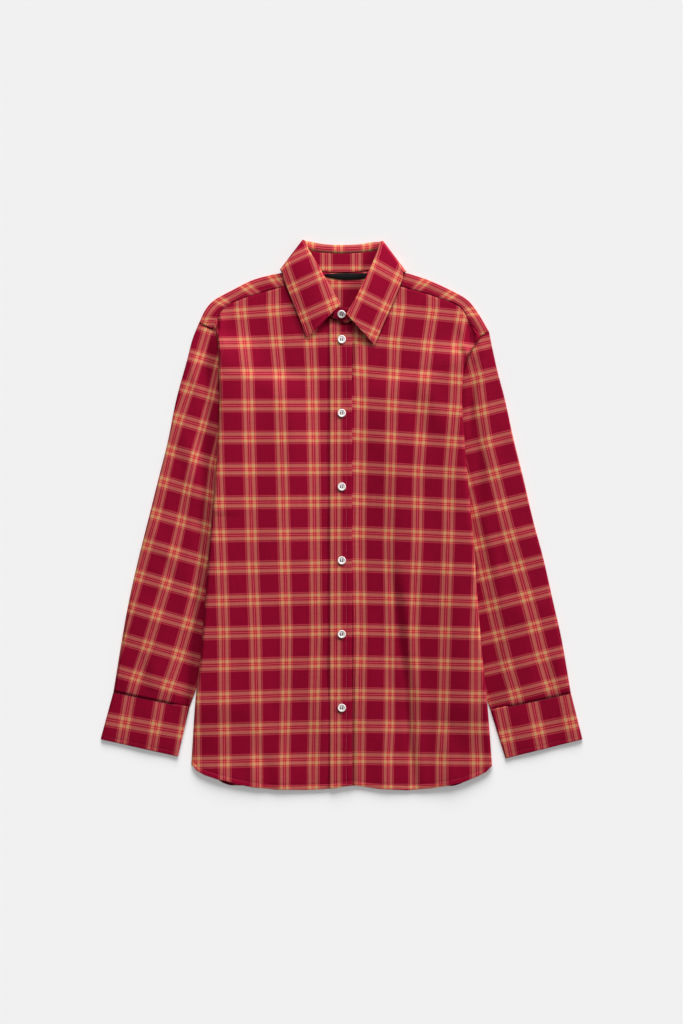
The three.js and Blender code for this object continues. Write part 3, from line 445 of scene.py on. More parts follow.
def loft(seed, out, y, reach=70.0):
    """The slow unevenness of cloth that lies loose, between -1 and 1."""
    rng = np.random.default_rng(seed)
    total = np.zeros_like(out)
    for _ in range(7):
        angle, phase = rng.uniform(0, np.pi), rng.uniform(0, 2 * np.pi)
        wave = reach * rng.uniform(0.6, 1.5)
        total += np.sin(2 * np.pi * (out * np.cos(angle) + y * np.sin(angle) * 0.55) / wave + phase)
    return total / 4.5


def stripe_number(stripes, out, y):
    """The cloth's crosswise coordinate in repeats, from where its stripe groups run."""
    place = [read(stripes[::-1], y, k) for k in range(1, stripes.shape[1])]
    number = 1 + np.minimum(out - place[0], 0) / REPEAT
    for a, b in zip(place, place[1:]):
        number = number + np.clip((out - a) / (b - a), 0, 1)
    return number + np.maximum(out - place[-1], 0) / REPEAT


def row_number(side, out, y):
    """The lengthwise coordinate in repeats, from the rows' heights and their slope."""
    rows = FRONT_ROWS[side]
    level = y + read(rows, y, 2) * (np.clip(out, 0, 215) - 100)
    above, below = np.maximum(level - rows[-1, 0], 0), np.maximum(rows[0, 0] - level, 0)
    return read(rows, level) - above / REPEAT + below / REPEAT


def evaluated_mesh(piece):
    """The mesh that a piece's modifiers make."""
    return bpy.data.meshes.new_from_object(piece.evaluated_get(bpy.context.evaluated_depsgraph_get()))


def settled(piece, material):
    """Turns a piece with live modifiers into a plain smooth mesh that rides on the shirt."""
    made, name = evaluated_mesh(piece), piece.name
    bpy.data.batch_remove([piece, piece.data])
    made.materials.clear()
    made.materials.append(material)
    made.shade_smooth()
    piece = placed(name, made)
    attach(piece, "root")
    return piece


def cloth_object(name, grids, thickness, material=poplin):
    """A closed shell of even thickness about grids of points in millimetres, sewn into one sheet.

    A grid is its points, their cloth coordinates, and whether its face is turned over. A tube's grid
    repeats its first column at the end.
    """
    vertices, quads, loops = [], [], []
    for points, uv, flip in grids:
        rows, columns = points.shape[:2]
        index = np.arange(rows * columns).reshape(rows, columns) + sum(len(v) for v in vertices)
        order = [(0, 0), (0, 1), (1, 1), (1, 0)] if flip else [(0, 0), (1, 0), (1, 1), (0, 1)]
        corners = [(slice(i, rows - 1 + i), slice(j, columns - 1 + j)) for i, j in order]
        vertices.append(points.reshape(-1, 3) * MM)
        quads.append(np.stack([index[c] for c in corners], axis=-1).reshape(-1, 4))
        loops.append(np.stack([uv[c] for c in corners], axis=-2).reshape(-1, 2))
    mesh = bpy.data.meshes.new(name)
    mesh.from_pydata(np.concatenate(vertices).tolist(), [], np.concatenate(quads).tolist())
    layer = mesh.uv_layers.new(name="cloth")
    layer.data.foreach_set("uv", np.concatenate(loops).astype(np.float32).ravel())
    sewn = bmesh.new()
    sewn.from_mesh(mesh)
    bmesh.ops.remove_doubles(sewn, verts=sewn.verts, dist=0.02 * MM)
    bmesh.ops.recalc_face_normals(sewn, faces=sewn.faces)
    sewn.to_mesh(mesh)
    sewn.free()
    shell = placed(name, mesh)
    thicken = shell.modifiers.new("thickness", "SOLIDIFY")
    thicken.thickness, thicken.offset = thickness * MM, 0
    return settled(shell, material)


def spread(*parts):
    """Zone numbers and fractions of a panel's columns, from (zone, number of columns)."""
    zones, fractions = [parts[0][0]], [0.0]
    for zone, count in parts:
        zones += [zone] * count
        fractions += [(i + 1) / count for i in range(count)]
    return np.array(zones), np.array(fractions)


def hem_y(side, panel, centre, zone, f):
    """The hem under each column, read at the column's distance along the cloth at the side seam's foot."""
    level = np.full(len(zone), SIDE_FOOT_Y)
    start = panel_sheet(side, "front", centre, np.full(len(zone), SIDE_FLAT), np.ones(len(zone)), level)[0]
    flat = panel_sheet(side, "front", centre, zone, f, level)[0]
    half = np.pi * FOLD["front"] / 2
    round_it = start + np.where(zone == TURN, half * f, half + read(TUCK, level) * f)
    return read(HEM, np.where(zone <= SIDE_FLAT, flat, round_it), COLUMN[side]) + HEM_INSET[panel]


def top_y(side, centre, zone, f):
    """Where each column meets the top edge, found by halving."""
    low, high = np.full(len(zone), 240.0), np.full(len(zone), 335.0)
    for _ in range(30):
        middle = (low + high) / 2
        below = middle < read(FRONT_TOP[side], panel_sheet(side, "front", centre, zone, f, middle)[0])
        low, high = np.where(below, middle, low), np.where(below, high, middle)
    return low


def column_levels(hem, top, step):
    """y of a panel's points: close together at the turned-up hem, then even, fitted to both ends."""
    near_hem = (0, 0.5, 3.0, 5.6, HEM_STITCH, 7.4)
    even = np.linspace(-312, 238, int(round(620 / step)))
    levels = [hem + d for d in near_hem]
    levels += [lerp(levels[-1], even[0], t) for t in np.linspace(0, 1, int(66 / step) + 1)[1:]]
    levels += [np.full_like(hem, y) for y in even[1:]]
    levels += [lerp(even[-1], top, t) for t in np.linspace(0, 1, int(70 / step) + 1)[1:]]
    return np.array(levels)


def hem_relief(y, hem):
    """The height of the hem's doubled edge, with the stitching pressed in."""
    return 0.35 * ramp(7.6, 5.4, y - hem) - 0.45 * hump(y - hem - HEM_STITCH, 0.7)


def hem_lift(y):
    """The hem stands a little off the table."""
    return 1.6 * ramp(-335, -378, y)


def front(side, centre):
    zone, f = spread((MIDDLE, 8), (SLOPE, 42), (SIDE_FLAT, 22), (TURN, 8), (TUCKED, 10))
    hem, top = hem_y(side, "front", centre, zone, f), top_y(side, centre, zone, f)
    y = column_levels(hem, top, 3.6)
    out, z, path = panel_sheet(side, "front", centre, zone, f, y)
    faces_up = np.where(zone <= SIDE_FLAT, 1.0, np.where(zone == TURN, 1 - f, 0.0))
    above_waist, below_waist, fades, faded, armhole_out = FRONT_FULLNESS[side]
    at_side = ramp(64, 8, side_edge(side, y) - out) * ramp(-345, -290, y) * ramp(fades, faded, y)
    at_armhole = 4.6 * hump(out - armhole_out, 13) * hump(y - 254, 28)
    loose = relief(FRONT_CREASES[side], out, y) + 0.35 * loft(FRONT_LOFT_SEED[side], out, y) + 0.35
    z = z + faces_up * (
        hem_relief(y, hem) + hem_lift(y) * ramp(215, 150, out)
        + np.where(y > 0, above_waist, below_waist) * at_side
        + ramp(-4, 25, np.abs(out)) * ramp(0, 22, top - y) * loose
        + ramp(0, 4, top - y) * np.maximum(at_armhole + relief(ARMHOLE_FOLDS[side], out, y), -1.0)
        - 0.15 * ramp(4, 0, top - y) * (np.abs(out) > 54))  # pressed down along the yoke's seam
    if side == "left":  # sewn to the placket's edge, so it rises to meet it
        z = z + ramp(26, 15.5, out) * faces_up
        out = np.where(zone == MIDDLE, lerp(out, out - 1.6, ramp(20, 15, out)), out)
    uv = as_points(stripe_number(FRONT_STRIPES[side], path, y), row_number(side, out, y))
    points = as_points(SIDE[side] * out, y, z)
    return cloth_object("front_" + side, [(points, uv, side == "left")], SHELL), points


front_right, right_grid = front("right", -(PLACKET["centre"] + PLACKET["half"]) + 0.4)
front_left, left_grid = front("left", PLACKET["centre"] + PLACKET["half"] + 0.4)
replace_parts(front_right, "front_right")
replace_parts(front_left, "front_left")

# ------------------------------------------------------------ the back
# One wide piece of poplin below the yoke, under both fronts and cut to their width. Only its edges show
# from above; its hem and its turned sides lie just inside those of the fronts.
BACK_STRIPE = 0.17  # its first stripe group from the centre line, in repeats


def back():
    halves = []
    for side in SIDE:
        zone, f = spread((MIDDLE, 12), (SLOPE, 8), (SIDE_FLAT, 6), (TURN, 5), (TUCKED, 6))
        hem = hem_y(side, "back", 0.0, zone, f)
        y = column_levels(hem, np.full_like(hem, BACK_SEAM_Y + 1.5), 7.0)
        out, z, path = panel_sheet(side, "back", 0.0, zone, f, y)
        uv = as_points(SIDE[side] * path / REPEAT + BACK_STRIPE, 3 - (y - 150) / REPEAT)
        halves.append((as_points(SIDE[side] * out, y, z), uv))
    points, uv = (np.concatenate([halves[0][k][:, ::-1], halves[1][k][:, 1:]], axis=1) for k in (0, 1))
    return cloth_object("back_panel", [(points, uv, True)], SHELL)


back_panel = back()
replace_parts(back_panel, "back_panel")

# ------------------------------------------------------------ the placket
# A strip of poplin folded double down the left front, over the right one, with two rows of pinkish
# stitching. Its buttonholes are hidden under the buttons but for the worked ends.
BUTTON = {"across": 11.5, "thick": 2.4, "hole": 1.5, "spacing": 3.0, "top": 246.0, "pitch": 103.1, "x": 0.3}


def placket():
    stitch = PLACKET["stitch"]
    inner = [0.0, 2.6, 5.2, stitch - 0.7, stitch, stitch + 0.7, 10.2, 12.6, 14.6, 15.4, PLACKET["half"]]
    across = np.array([-d for d in inner[:0:-1]] + inner)
    x = PLACKET["centre"] + across
    hem = np.where(x < 0, read(HEM, -x, COLUMN["right"]), read(HEM, x, COLUMN["left"]))
    y = column_levels(hem, 272.2 - 0.22 * across, 3.2)  # cut off slantwise under the stand
    from_stitch = np.abs(across) - stitch
    pucker = 0.10 * np.sin(y / 1.9 + 1.3 * np.sin(y / 23)) * hump(from_stitch, 2.6)
    edge = -0.35 * ramp(14.2, 15.65, np.abs(across))
    between_buttons = 0.35 * (1 - np.cos(2 * np.pi * (y - BUTTON["top"]) / BUTTON["pitch"])) / 2
    z = panel_height("right", "front", np.abs(x), y) + CLOTH / 2 + LAY + DOUBLED / 2
    z = z + hem_relief(y, hem) - 0.28 * hump(from_stitch, 0.6) + pucker + edge + between_buttons + 0.3
    z = z + hem_lift(y) - 1.5 * ramp(262, 270, y)
    uv = as_points((x + 8.3 + 1.4 * ramp(200, 260, y)) / REPEAT, row_number("right", -x, y))
    points = as_points(x, y, z)
    return cloth_object("placket", [(points, uv, True)], DOUBLE_SHELL), points, across


placket_strip, placket_points, placket_across = placket()
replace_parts(placket_strip, "placket")

# ------------------------------------------------------------ the yoke
# A doubled shoulder piece: flat across the back, folded over both shoulders and edge-stitched down on
# the fronts. Over each shoulder its stripes lean, because the fold turns them.
YOKE_SHELL = 0.6
# out and y of the crest of each shoulder, from the collar to the armhole
SHOULDER = by_side(
    right=[
        (66, 347.6), (78, 341.2), (88, 338.6), (100, 336.4), (125.4, 329.3), (153.4, 315.3), (178.6, 301.3),
        (191.2, 287.3), (199.7, 269.4)],
    left=[
        (66, 347.6), (78, 341.2), (90, 339.6), (103, 335.8), (122.4, 329.3), (153.2, 315.3), (177, 301.3),
        (192.5, 281.5), (206.1, 258.2)])
YOKE_CREASES = by_side(
    right=[
        (150, 300, 190, 276, 5, 1.3), (96, 333, 160, 306, 5, 0.7)],
    left=[
        (150, 303, 196, 262, 5, 1.3), (100, 331, 150, 309, 5, 0.6), (168, 296, 186, 262, 3, -0.8)])
ARMHOLE_HOLLOW = {"right": 5.4, "left": 1.2}
YOKE_STRIPE = {"right": 34.4, "left": 57.0}  # a stripe's place along the shoulder, from the neck
YOKE_REPEAT = 42.0
YOKE_LEAN = 0.5
YOKE_ROW_Y = 326  # a row across the back of the yoke
YOKE_DEPTH = np.linspace(0, 1, 14)  # shares of the way up the back half


def left_of(v):
    return as_points(-v[..., 1], v[..., 0])


def unit(v):
    return v / np.linalg.norm(v, axis=-1, keepdims=True)


def catmull_rom(p0, p1, p2, p3, t):
    """A smooth curve from p1 to p2, between its neighbours p0 and p3."""
    return hermite(p1, p2, (p2 - p0) / 2, (p3 - p1) / 2, t)


def plan_curve(rows, straight=False):
    """A plan curve read by its share of length: its points, its unit tangents and its length."""
    if straight:
        fine = [np.linspace(a, b, 40, endpoint=False) for a, b in zip(rows, rows[1:])]
    else:
        padded = np.concatenate([rows[:1], rows, rows[-1:]])
        t = np.linspace(0, 1, 60, endpoint=False)[:, None]
        fine = [catmull_rom(*four, t) for four in zip(padded, padded[1:], padded[2:], padded[3:])]
    fine = np.concatenate(fine + [rows[-1:]])
    length = np.concatenate([[0], np.cumsum(np.hypot(*np.diff(fine, axis=0).T))])

    def at(s):
        return as_points(*(np.interp(s * length[-1], length, fine[:, k]) for k in (0, 1)))

    def tangent(s, span=0.012):
        return unit(at(np.minimum(s + span, 1)) - at(np.maximum(s - span, 0)))

    return at, tangent, length[-1]


def yoke_side(side):
    at, tangent, length = plan_curve(SHOULDER[side])
    seam_at, seam_tangent, _ = plan_curve(FRONT_TOP[side][FRONT_TOP[side][:, 0] >= 54], straight=True)
    s = np.concatenate([np.linspace(0, 0.6, 22), np.linspace(0.6, 1, 26)[1:]])
    crest, outward = at(s), left_of(tangent(s))
    low, high = (panel_height(side, panel, crest[:, 0], crest[:, 1]) for panel in ("back", "front"))
    radius = ((high - low) / 2)[:, None]
    fold = crest - outward * (CLOTH / 2 + radius)
    base = as_points(lerp(60, side_edge(side, BACK_SEAM_Y) - 0.5, s), BACK_SEAM_Y)
    front_edge = seam_at(s) - left_of(seam_tangent(s, 0.03)) * 0.7
    hollow = unit(left_of(fold - base)) * (ARMHOLE_HOLLOW[side] * s**6)[:, None]
    below, above = [], []
    for t in YOKE_DEPTH:
        p = lerp(base, fold, t) + hollow * 4 * t * (1 - t)
        below.append(np.column_stack([p, panel_height(side, "back", p[:, 0], p[:, 1])]))
    bend = [np.column_stack([fold + outward * radius * math.sin(a), low + radius[:, 0] * (1 - math.cos(a))])
            for a in map(math.radians, (30, 60, 90, 120, 150))]
    for t in (0, 0.12, 0.25, 0.38, 0.5, 0.62, 0.74, 0.85, 0.93, 1):
        p = lerp(fold, front_edge, t)
        inward = np.linalg.norm(p - front_edge, axis=1)
        rise = 0.42 * ramp(9, 1.2, inward) - 0.30 * ramp(0.9, 0, inward)
        armhole = ramp(0.80, 0.97, s) * (0.35 + 0.5 * math.sin(math.pi * t))
        creases = relief(YOKE_CREASES[side], p[:, 0], p[:, 1]) * math.sin(math.pi * min(t + 0.1, 1)) ** 0.5
        z = panel_height(side, "front", p[:, 0], p[:, 1]) + rise + armhole + creases
        above.append(np.column_stack([p, z]))

    def coordinates(points, folded_over):
        from_crest = crest - points[:, :2]
        down = (from_crest * outward).sum(axis=1)
        stripe = s * length - (from_crest * left_of(-outward)).sum(axis=1) - YOKE_STRIPE[side]
        if folded_over:
            return as_points((stripe + YOKE_LEAN * down) / YOKE_REPEAT, (down - 3.4) / REPEAT)
        flat = as_points(SIDE[side] * points[:, 0] / REPEAT + BACK_STRIPE,
                         (YOKE_ROW_Y - points[:, 1]) / REPEAT)
        turned = as_points((stripe - YOKE_LEAN * down) / YOKE_REPEAT + 1.0, (-down - 1.5) / REPEAT)
        return lerp(flat, turned, ramp(0.0, 0.35, s)[:, None])

    back_uv = np.array([coordinates(p, False) for p in below])
    over = below[-1:] + bend + above
    over_uv = np.array([coordinates(p, k > 3) for k, p in enumerate(over)])
    mirrored = np.array([SIDE[side], 1, 1])
    return (np.array(below) * mirrored, back_uv), (np.array(over) * mirrored, over_uv)


def yoke():
    (right_back, right_uv), (right_front, right_front_uv) = yoke_side("right")
    (left_back, left_uv), (left_front, left_front_uv) = yoke_side("left")
    share = np.linspace(0, 1, 25)[1:-1]
    x, y, _ = np.moveaxis(lerp(right_back[:, :1], left_back[:, :1], share[None, :, None]), -1, 0)
    y = y - 7.6 * YOKE_DEPTH[:, None] * (1 - (2 * share - 1) ** 2)  # the neck dips at the centre back
    middle = as_points(x, y, panel_height("left", "back", np.abs(x), y))
    middle_uv = as_points(x / REPEAT + BACK_STRIPE, (YOKE_ROW_Y - y) / REPEAT)
    across = np.concatenate([right_back[:, ::-1], middle, left_back], axis=1)
    across_uv = np.concatenate([right_uv[:, ::-1], middle_uv, left_uv], axis=1)
    grids = [(across, across_uv, False), (right_front, right_front_uv, True),
             (left_front, left_front_uv, False)]
    return cloth_object("yoke", grids, YOKE_SHELL), right_front, left_front


yoke_piece, yoke_right, yoke_left = yoke()
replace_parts(yoke_piece, "yoke")

# ------------------------------------------------------------ the sleeves
# A sleeve is one piece sewn into a tube and pressed flat. It runs under the body, and its cap is sewn
# into the armhole. The cloth leans outwards, with the arm.
UNDERARM_Y = 225
# Height of its upper layer, how much higher it lies by the armhole, and the fullness in both places.
SLEEVE_TOP = {"flat": 1.85, "by_armhole": 0.8, "fullness": 3.4, "armhole_fullness": 1.6}
ALLOWANCE = {"u": -0.012, "width": 3.4, "down": 0.7}  # the sleeve's own, under the body and yoke
# out and y of the armhole seam from the shoulder to the underarm, and of the sleeve's outer fold
ARMHOLE = by_side(
    right=[
        (200.3, 268.6), (186, 262.5), (181.6, 259.5), (177, 248.5), (174.5, 235), (173.4, 220), (168, 203),
        (137, 188), (106, 168), (84, 140), (75, 100)],
    left=[
        (206.8, 257.4), (197.2, 249), (186.2, 234), (177.4, 219), (172.6, 210), (167, 202), (137, 188),
        (106, 168), (84, 140), (75, 100)])
SLEEVE_OUTER = by_side(
    right=[
        (200.3, 268.6), (209.4, 245.3), (216.6, 217), (231.8, 161.3), (243, 105.3), (257, 49.3),
        (271, -6.7), (285, -62.7), (297.6, -118.7), (307.8, -174.7), (319.6, -247.6)],
    left=[
        (206.8, 257.4), (212, 231.3), (219, 200), (229.2, 161.3), (241.4, 105.3), (255.4, 49.3),
        (268.4, -6.7), (283.4, -62.7), (296, -118.7), (308.6, -174.7), (321.4, -249.3)])
# corners of a cuff: outer and inner end of its seam, outer and inner end of its edge
CUFF = by_side(
    right=[
        (319.6, -247.6), (212.9, -269.4), (337.5, -313.5), (229.2, -337.9)],
    left=[
        (321.4, -249.3), (208.6, -273.4), (337.5, -313.7), (229.4, -340.5)])
# The lean of the grain (degrees), where the rows lie down it from the shoulder to the wrist, and, down
# the sleeve, where its stripes lie across the grain, from the innermost out.
SLEEVE_LEAN = {"right": 16.0, "left": 14.0}
SLEEVE_ROWS = by_side(
    right=[-157.2 + 45.3 * n for n in range(11)],
    left=[-140.4, -94.8, -49.7, -4.4, 40.5, 85.1, 129.3, 173.0, 216.5, 259.8, 301.1])
SLEEVE_STRIPES = by_side(
    right=[
        (300, 167.6, 214.4, 250.0), (251, 164.9, 211.4, 248.5), (203, 164.6, 210.6, 248.7),
        (157, 165.5, 209.6, 249.3), (114, 169.6, 210.8, 249.4), (71, 175.9, 213.0, 249.3),
        (24, 185.0, 217.5, 251.5), (-21, 193.5, 220.0, 254.4), (-67, 195.0, 220.2, 255.0),
        (-110, 196.0, 221.2, 252.6), (-157, 198.0, 224.6, 250.2)],
    left=[
        (300, 174.5, 226.8, 276), (257, 172.6, 224.4, 275), (213, 173.2, 224.6, 274),
        (170, 174.0, 223.6, 273), (127, 175.2, 222.2, 271), (82, 177.6, 220.6, 269),
        (40, 179.6, 220.4, 268), (-6, 180.4, 220.6, 268), (-52, 180.2, 220.6, 268),
        (-94, 182.5, 224.8, 271), (-141, 188.0, 231.2, 276)])
SLEEVE_CREASES = by_side(
    right=[
        (214, 240, 202, 170, 7, 1.6), (186, 240, 184, 178, 5, -1.6), (205, 130, 192, 40, 9, -1.5),
        (216, 120, 212, 20, 12, 1.6), (222, 30, 226, -80, 14, -0.9), (206, -20, 216, -140, 9, 1.3),
        (270, -10, 240, -60, 12, 0.9), (262, -50, 230, -96, 9, -0.9), (286, -120, 250, -160, 12, 0.9),
        (238, -130, 262, -236, 14, 1.1), (222, -150, 232, -240, 8, -1.0), (300, -190, 306, -246, 9, 0.8),
        (280, -200, 284, -246, 7, -0.8), (262, -205, 266, -246, 7, 0.8), (240, 100, 216, 60, 10, -0.7)],
    left=[
        (204, 236, 186, 214, 5, 2.0), (196, 214, 190, 150, 8, 1.3), (184, 190, 182, 120, 5, -1.6),
        (205, 150, 214, 60, 12, 1.2), (190, 100, 198, 10, 8, -1.5), (200, 10, 214, -90, 9, 1.3),
        (262, -20, 232, -66, 11, 0.9), (250, -70, 226, -110, 9, -0.9), (285, -120, 252, -156, 12, 0.8),
        (240, -120, 262, -236, 14, 1.0), (216, -130, 226, -240, 8, -1.1), (302, -190, 308, -246, 9, 0.8),
        (284, -200, 288, -246, 7, -0.8), (264, -205, 266, -248, 7, 0.8), (232, 110, 214, 70, 10, -0.7)])


def grain_coordinates(degrees, out, y):
    """Across and down a sleeve's grain, which leans outwards by this angle."""
    a = math.radians(degrees)
    return out * math.cos(a) + y * math.sin(a), out * math.sin(a) - y * math.cos(a)


def tube(side, plan, us, top_s, bottom_s, top_height, floor_height, thickness, number, relief_at):
    """A flattened tube's grid: round its outer fold, over the top, round its inner fold and back below."""
    turn = np.radians(np.arange(0, 181, 20))
    rings, numbers = [], []
    for u in us:
        floor = floor_height + 0.6 * ramp(0.0, -0.006, u)
        folds = []
        for s, inward in ((0.0, 0.04), (1.0, 0.96)):
            edge = plan(u, np.array([s]))[0]
            outward = unit(edge - plan(u, np.array([inward]))[0])
            radius = (top_height(u, edge[None, 0], edge[None, 1])[0] - floor) / 2
            folds.append((edge - outward * (thickness / 2 + radius), outward, radius))
        arcs = [np.column_stack([base + outward * (radius * np.sin(turn))[:, None],
                                 floor + radius * (1 - np.cos(turn))]) for base, outward, radius in folds]
        x, y = plan(u, top_s).T
        top = np.column_stack([x, y, top_height(u, x, y) + relief_at(u, top_s, x, y)])
        bottom = np.column_stack([plan(u, bottom_s), np.full(len(bottom_s), floor)])
        ring = np.concatenate([arcs[0], top, arcs[1][::-1], bottom, arcs[0][:1]])
        value = number(ring[:, 0], ring[:, 1])
        # Past a fold the cloth runs on: its coordinate across the grain is mirrored at the fold.
        base, outward, radius = folds[0]
        at_fold = number(*(base + outward * radius)[:, None])[0, 0]
        lower = np.zeros(len(ring), bool)
        lower[:len(turn) // 2] = True
        lower[len(turn) + len(top) + len(turn) // 2:] = True
        value[lower, 0] = 2 * at_fold - value[lower, 0]
        ring[:, 0] *= SIDE[side]
        rings.append(ring)
        numbers.append(value)
    return np.array(rings), np.array(numbers)


def sleeve_plan(side):
    """Plan points of a sleeve at shares u down it and s inwards, fitted between its four edges."""
    outer, _, _ = plan_curve(SLEEVE_OUTER[side])
    armhole, tangent, _ = plan_curve(ARMHOLE[side])
    cap, under = SLEEVE_OUTER[side][0], ARMHOLE[side][-1]
    wrist_outer, wrist_inner = CUFF[side][:2]

    def plan(u, s):
        if u < 0:  # the seam allowance, under the body and yoke
            width = u / ALLOWANCE["u"] * ALLOWANCE["width"] * ramp(-0.02, 0.03, s)
            return armhole(s) - left_of(tangent(s)) * width[:, None]
        t = s[:, None]
        corners = lerp(lerp(cap, under, t), lerp(wrist_outer, wrist_inner, t), u)
        across = lerp(outer(u), lerp(under, wrist_inner, u), t)
        return across + lerp(armhole(s), lerp(wrist_outer, wrist_inner, t), u) - corners

    return plan


def sleeve(side):
    us = np.concatenate([[ALLOWANCE["u"], ALLOWANCE["u"] / 2, 0, 0.004, 0.009],
                         np.linspace(0.015, 0.985, 130), [0.99, 1.0]])
    top_s = np.concatenate([np.linspace(0.02, 0.5, 34), np.linspace(0.53, 0.96, 14)])
    bottom_s = np.linspace(0.97, 0.03, 20)

    def beyond_body(out, y):
        return out - side_edge(side, np.minimum(y, UNDERARM_Y))

    def height(u, out, y):
        at_seam = ramp(205, 236, y)
        full = ramp(3, 36, beyond_body(out, y)) * ramp(262, 215, y)
        fullness = lerp(SLEEVE_TOP["fullness"], SLEEVE_TOP["armhole_fullness"], at_seam)
        sunk = 0.25 * ramp(0.982, 0.995, u) + ALLOWANCE["down"] * ramp(0.004, -0.004, u)
        return SLEEVE_TOP["flat"] + SLEEVE_TOP["by_armhole"] * at_seam + fullness * full - sunk

    def folds(u, s, out, y):
        seen = ramp(-6, 10, beyond_body(out, y)) * ramp(0.0, 0.10, s) * ramp(0.995, 0.96, u)
        gathers = 0.22 * np.sin(out / 3.1 + 2 * np.sin(out / 17)) * ramp(0.90, 0.985, u)
        loose = relief(SLEEVE_CREASES[side], out, y) + 0.45 * loft(7 + SIDE[side], out, y, 60)
        return seen * (loose + gathers + 0.4)

    def number(out, y):
        across, down = grain_coordinates(SLEEVE_LEAN[side], out, y)
        rows = SLEEVE_ROWS[side]
        past = np.minimum(down - rows[0], 0) + np.maximum(down - rows[-1], 0)
        row = np.interp(down, rows, np.arange(len(rows))) + past / REPEAT
        return as_points(stripe_number(SLEEVE_STRIPES[side], across, down), row)

    rings, numbers = tube(side, sleeve_plan(side), us, top_s, bottom_s, height, LEVEL["back"], CLOTH,
                          number, folds)
    piece = cloth_object("sleeve_" + side, [(rings, numbers, side == "right")], SHELL)
    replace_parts(piece, "sleeve_" + side)
    return piece


sleeves = {side: sleeve(side) for side in SIDE}

# ------------------------------------------------------------ the cuffs
# Each cuff is a plain doubled band of poplin round the sleeve's end, with a row of stitching along its
# seam. On the left the stripes are not matched to the sleeve's.
CUFF_LAYERS = {"top": 4.35, "floor": 0.55, "wall": 1.1, "shell": 0.9}  # heights, then thicknesses
CUFF_GRAIN = {"right": (10.0, 338.2), "left": (11.5, 348.4)}  # lean (degrees), and a row's place down it
CUFF_STRIPES = {"right": (165.8, 204.2, 247.7), "left": (165.2, 209.8, 255.2)}
CUFF_ROWS_APART = 50.0
CUFF_STITCH = {"seam": 1.8, "edge": 5.5}


def cuff(side):
    seam_outer, seam_inner, edge_outer, edge_inner = CUFF[side]
    length = np.linalg.norm(seam_outer - edge_outer)
    lean, row = CUFF_GRAIN[side]

    def plan(u, s):
        along = lerp(-1.2 / length, 1, u)  # it starts over the sleeve's end
        return lerp(lerp(seam_outer, edge_outer, along), lerp(seam_inner, edge_inner, along), s[:, None])

    def height(u, out, y):
        return np.full_like(out, CUFF_LAYERS["top"] - 0.15 * ramp(0.9, 1.0, u) - 0.35 * ramp(0.014, 0.0, u))

    def folds(u, s, out, y):
        at_seam, at_edge = u * length - CUFF_STITCH["seam"], (u - 1) * length + CUFF_STITCH["edge"]
        pressed = -0.12 * hump(at_seam, 0.6) - 0.30 * hump(at_edge, 0.7)
        wave = (0.45 * np.sin(out / 11.0 + y / 29.0 + (1 if side == "left" else 0))
                + 0.5 * np.sin(np.pi * s) * math.sin(math.pi * u))
        return ramp(0, 0.08, s) * ramp(1, 0.92, s) * (pressed + wave * ramp(0.0, 0.2, u) + 0.1)

    def number(out, y):
        across, down = grain_coordinates(lean, out, y)
        stripes = np.array([(1, *CUFF_STRIPES[side]), (0, *CUFF_STRIPES[side])])
        return as_points(stripe_number(stripes, across, down), (down - row) / CUFF_ROWS_APART)

    us = np.concatenate([[0, 0.7, 1.8, 2.4, 3.0, 3.6, 5.0], np.linspace(8, length - 8.5, 14),
                         length - np.array([6.4, 5.5, 4.6, 2.6, 1.0, 0])]) / length
    rings, numbers = tube(side, plan, us, np.linspace(0.03, 0.97, 34), np.linspace(0.97, 0.03, 18),
                          height, CUFF_LAYERS["floor"], CUFF_LAYERS["wall"], number, folds)
    piece = cloth_object("cuff_" + side, [(rings, numbers, side == "right")], CUFF_LAYERS["shell"])
    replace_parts(piece, "cuff_" + side)
    return piece, rings


cuffs = {side: cuff(side) for side in SIDE}

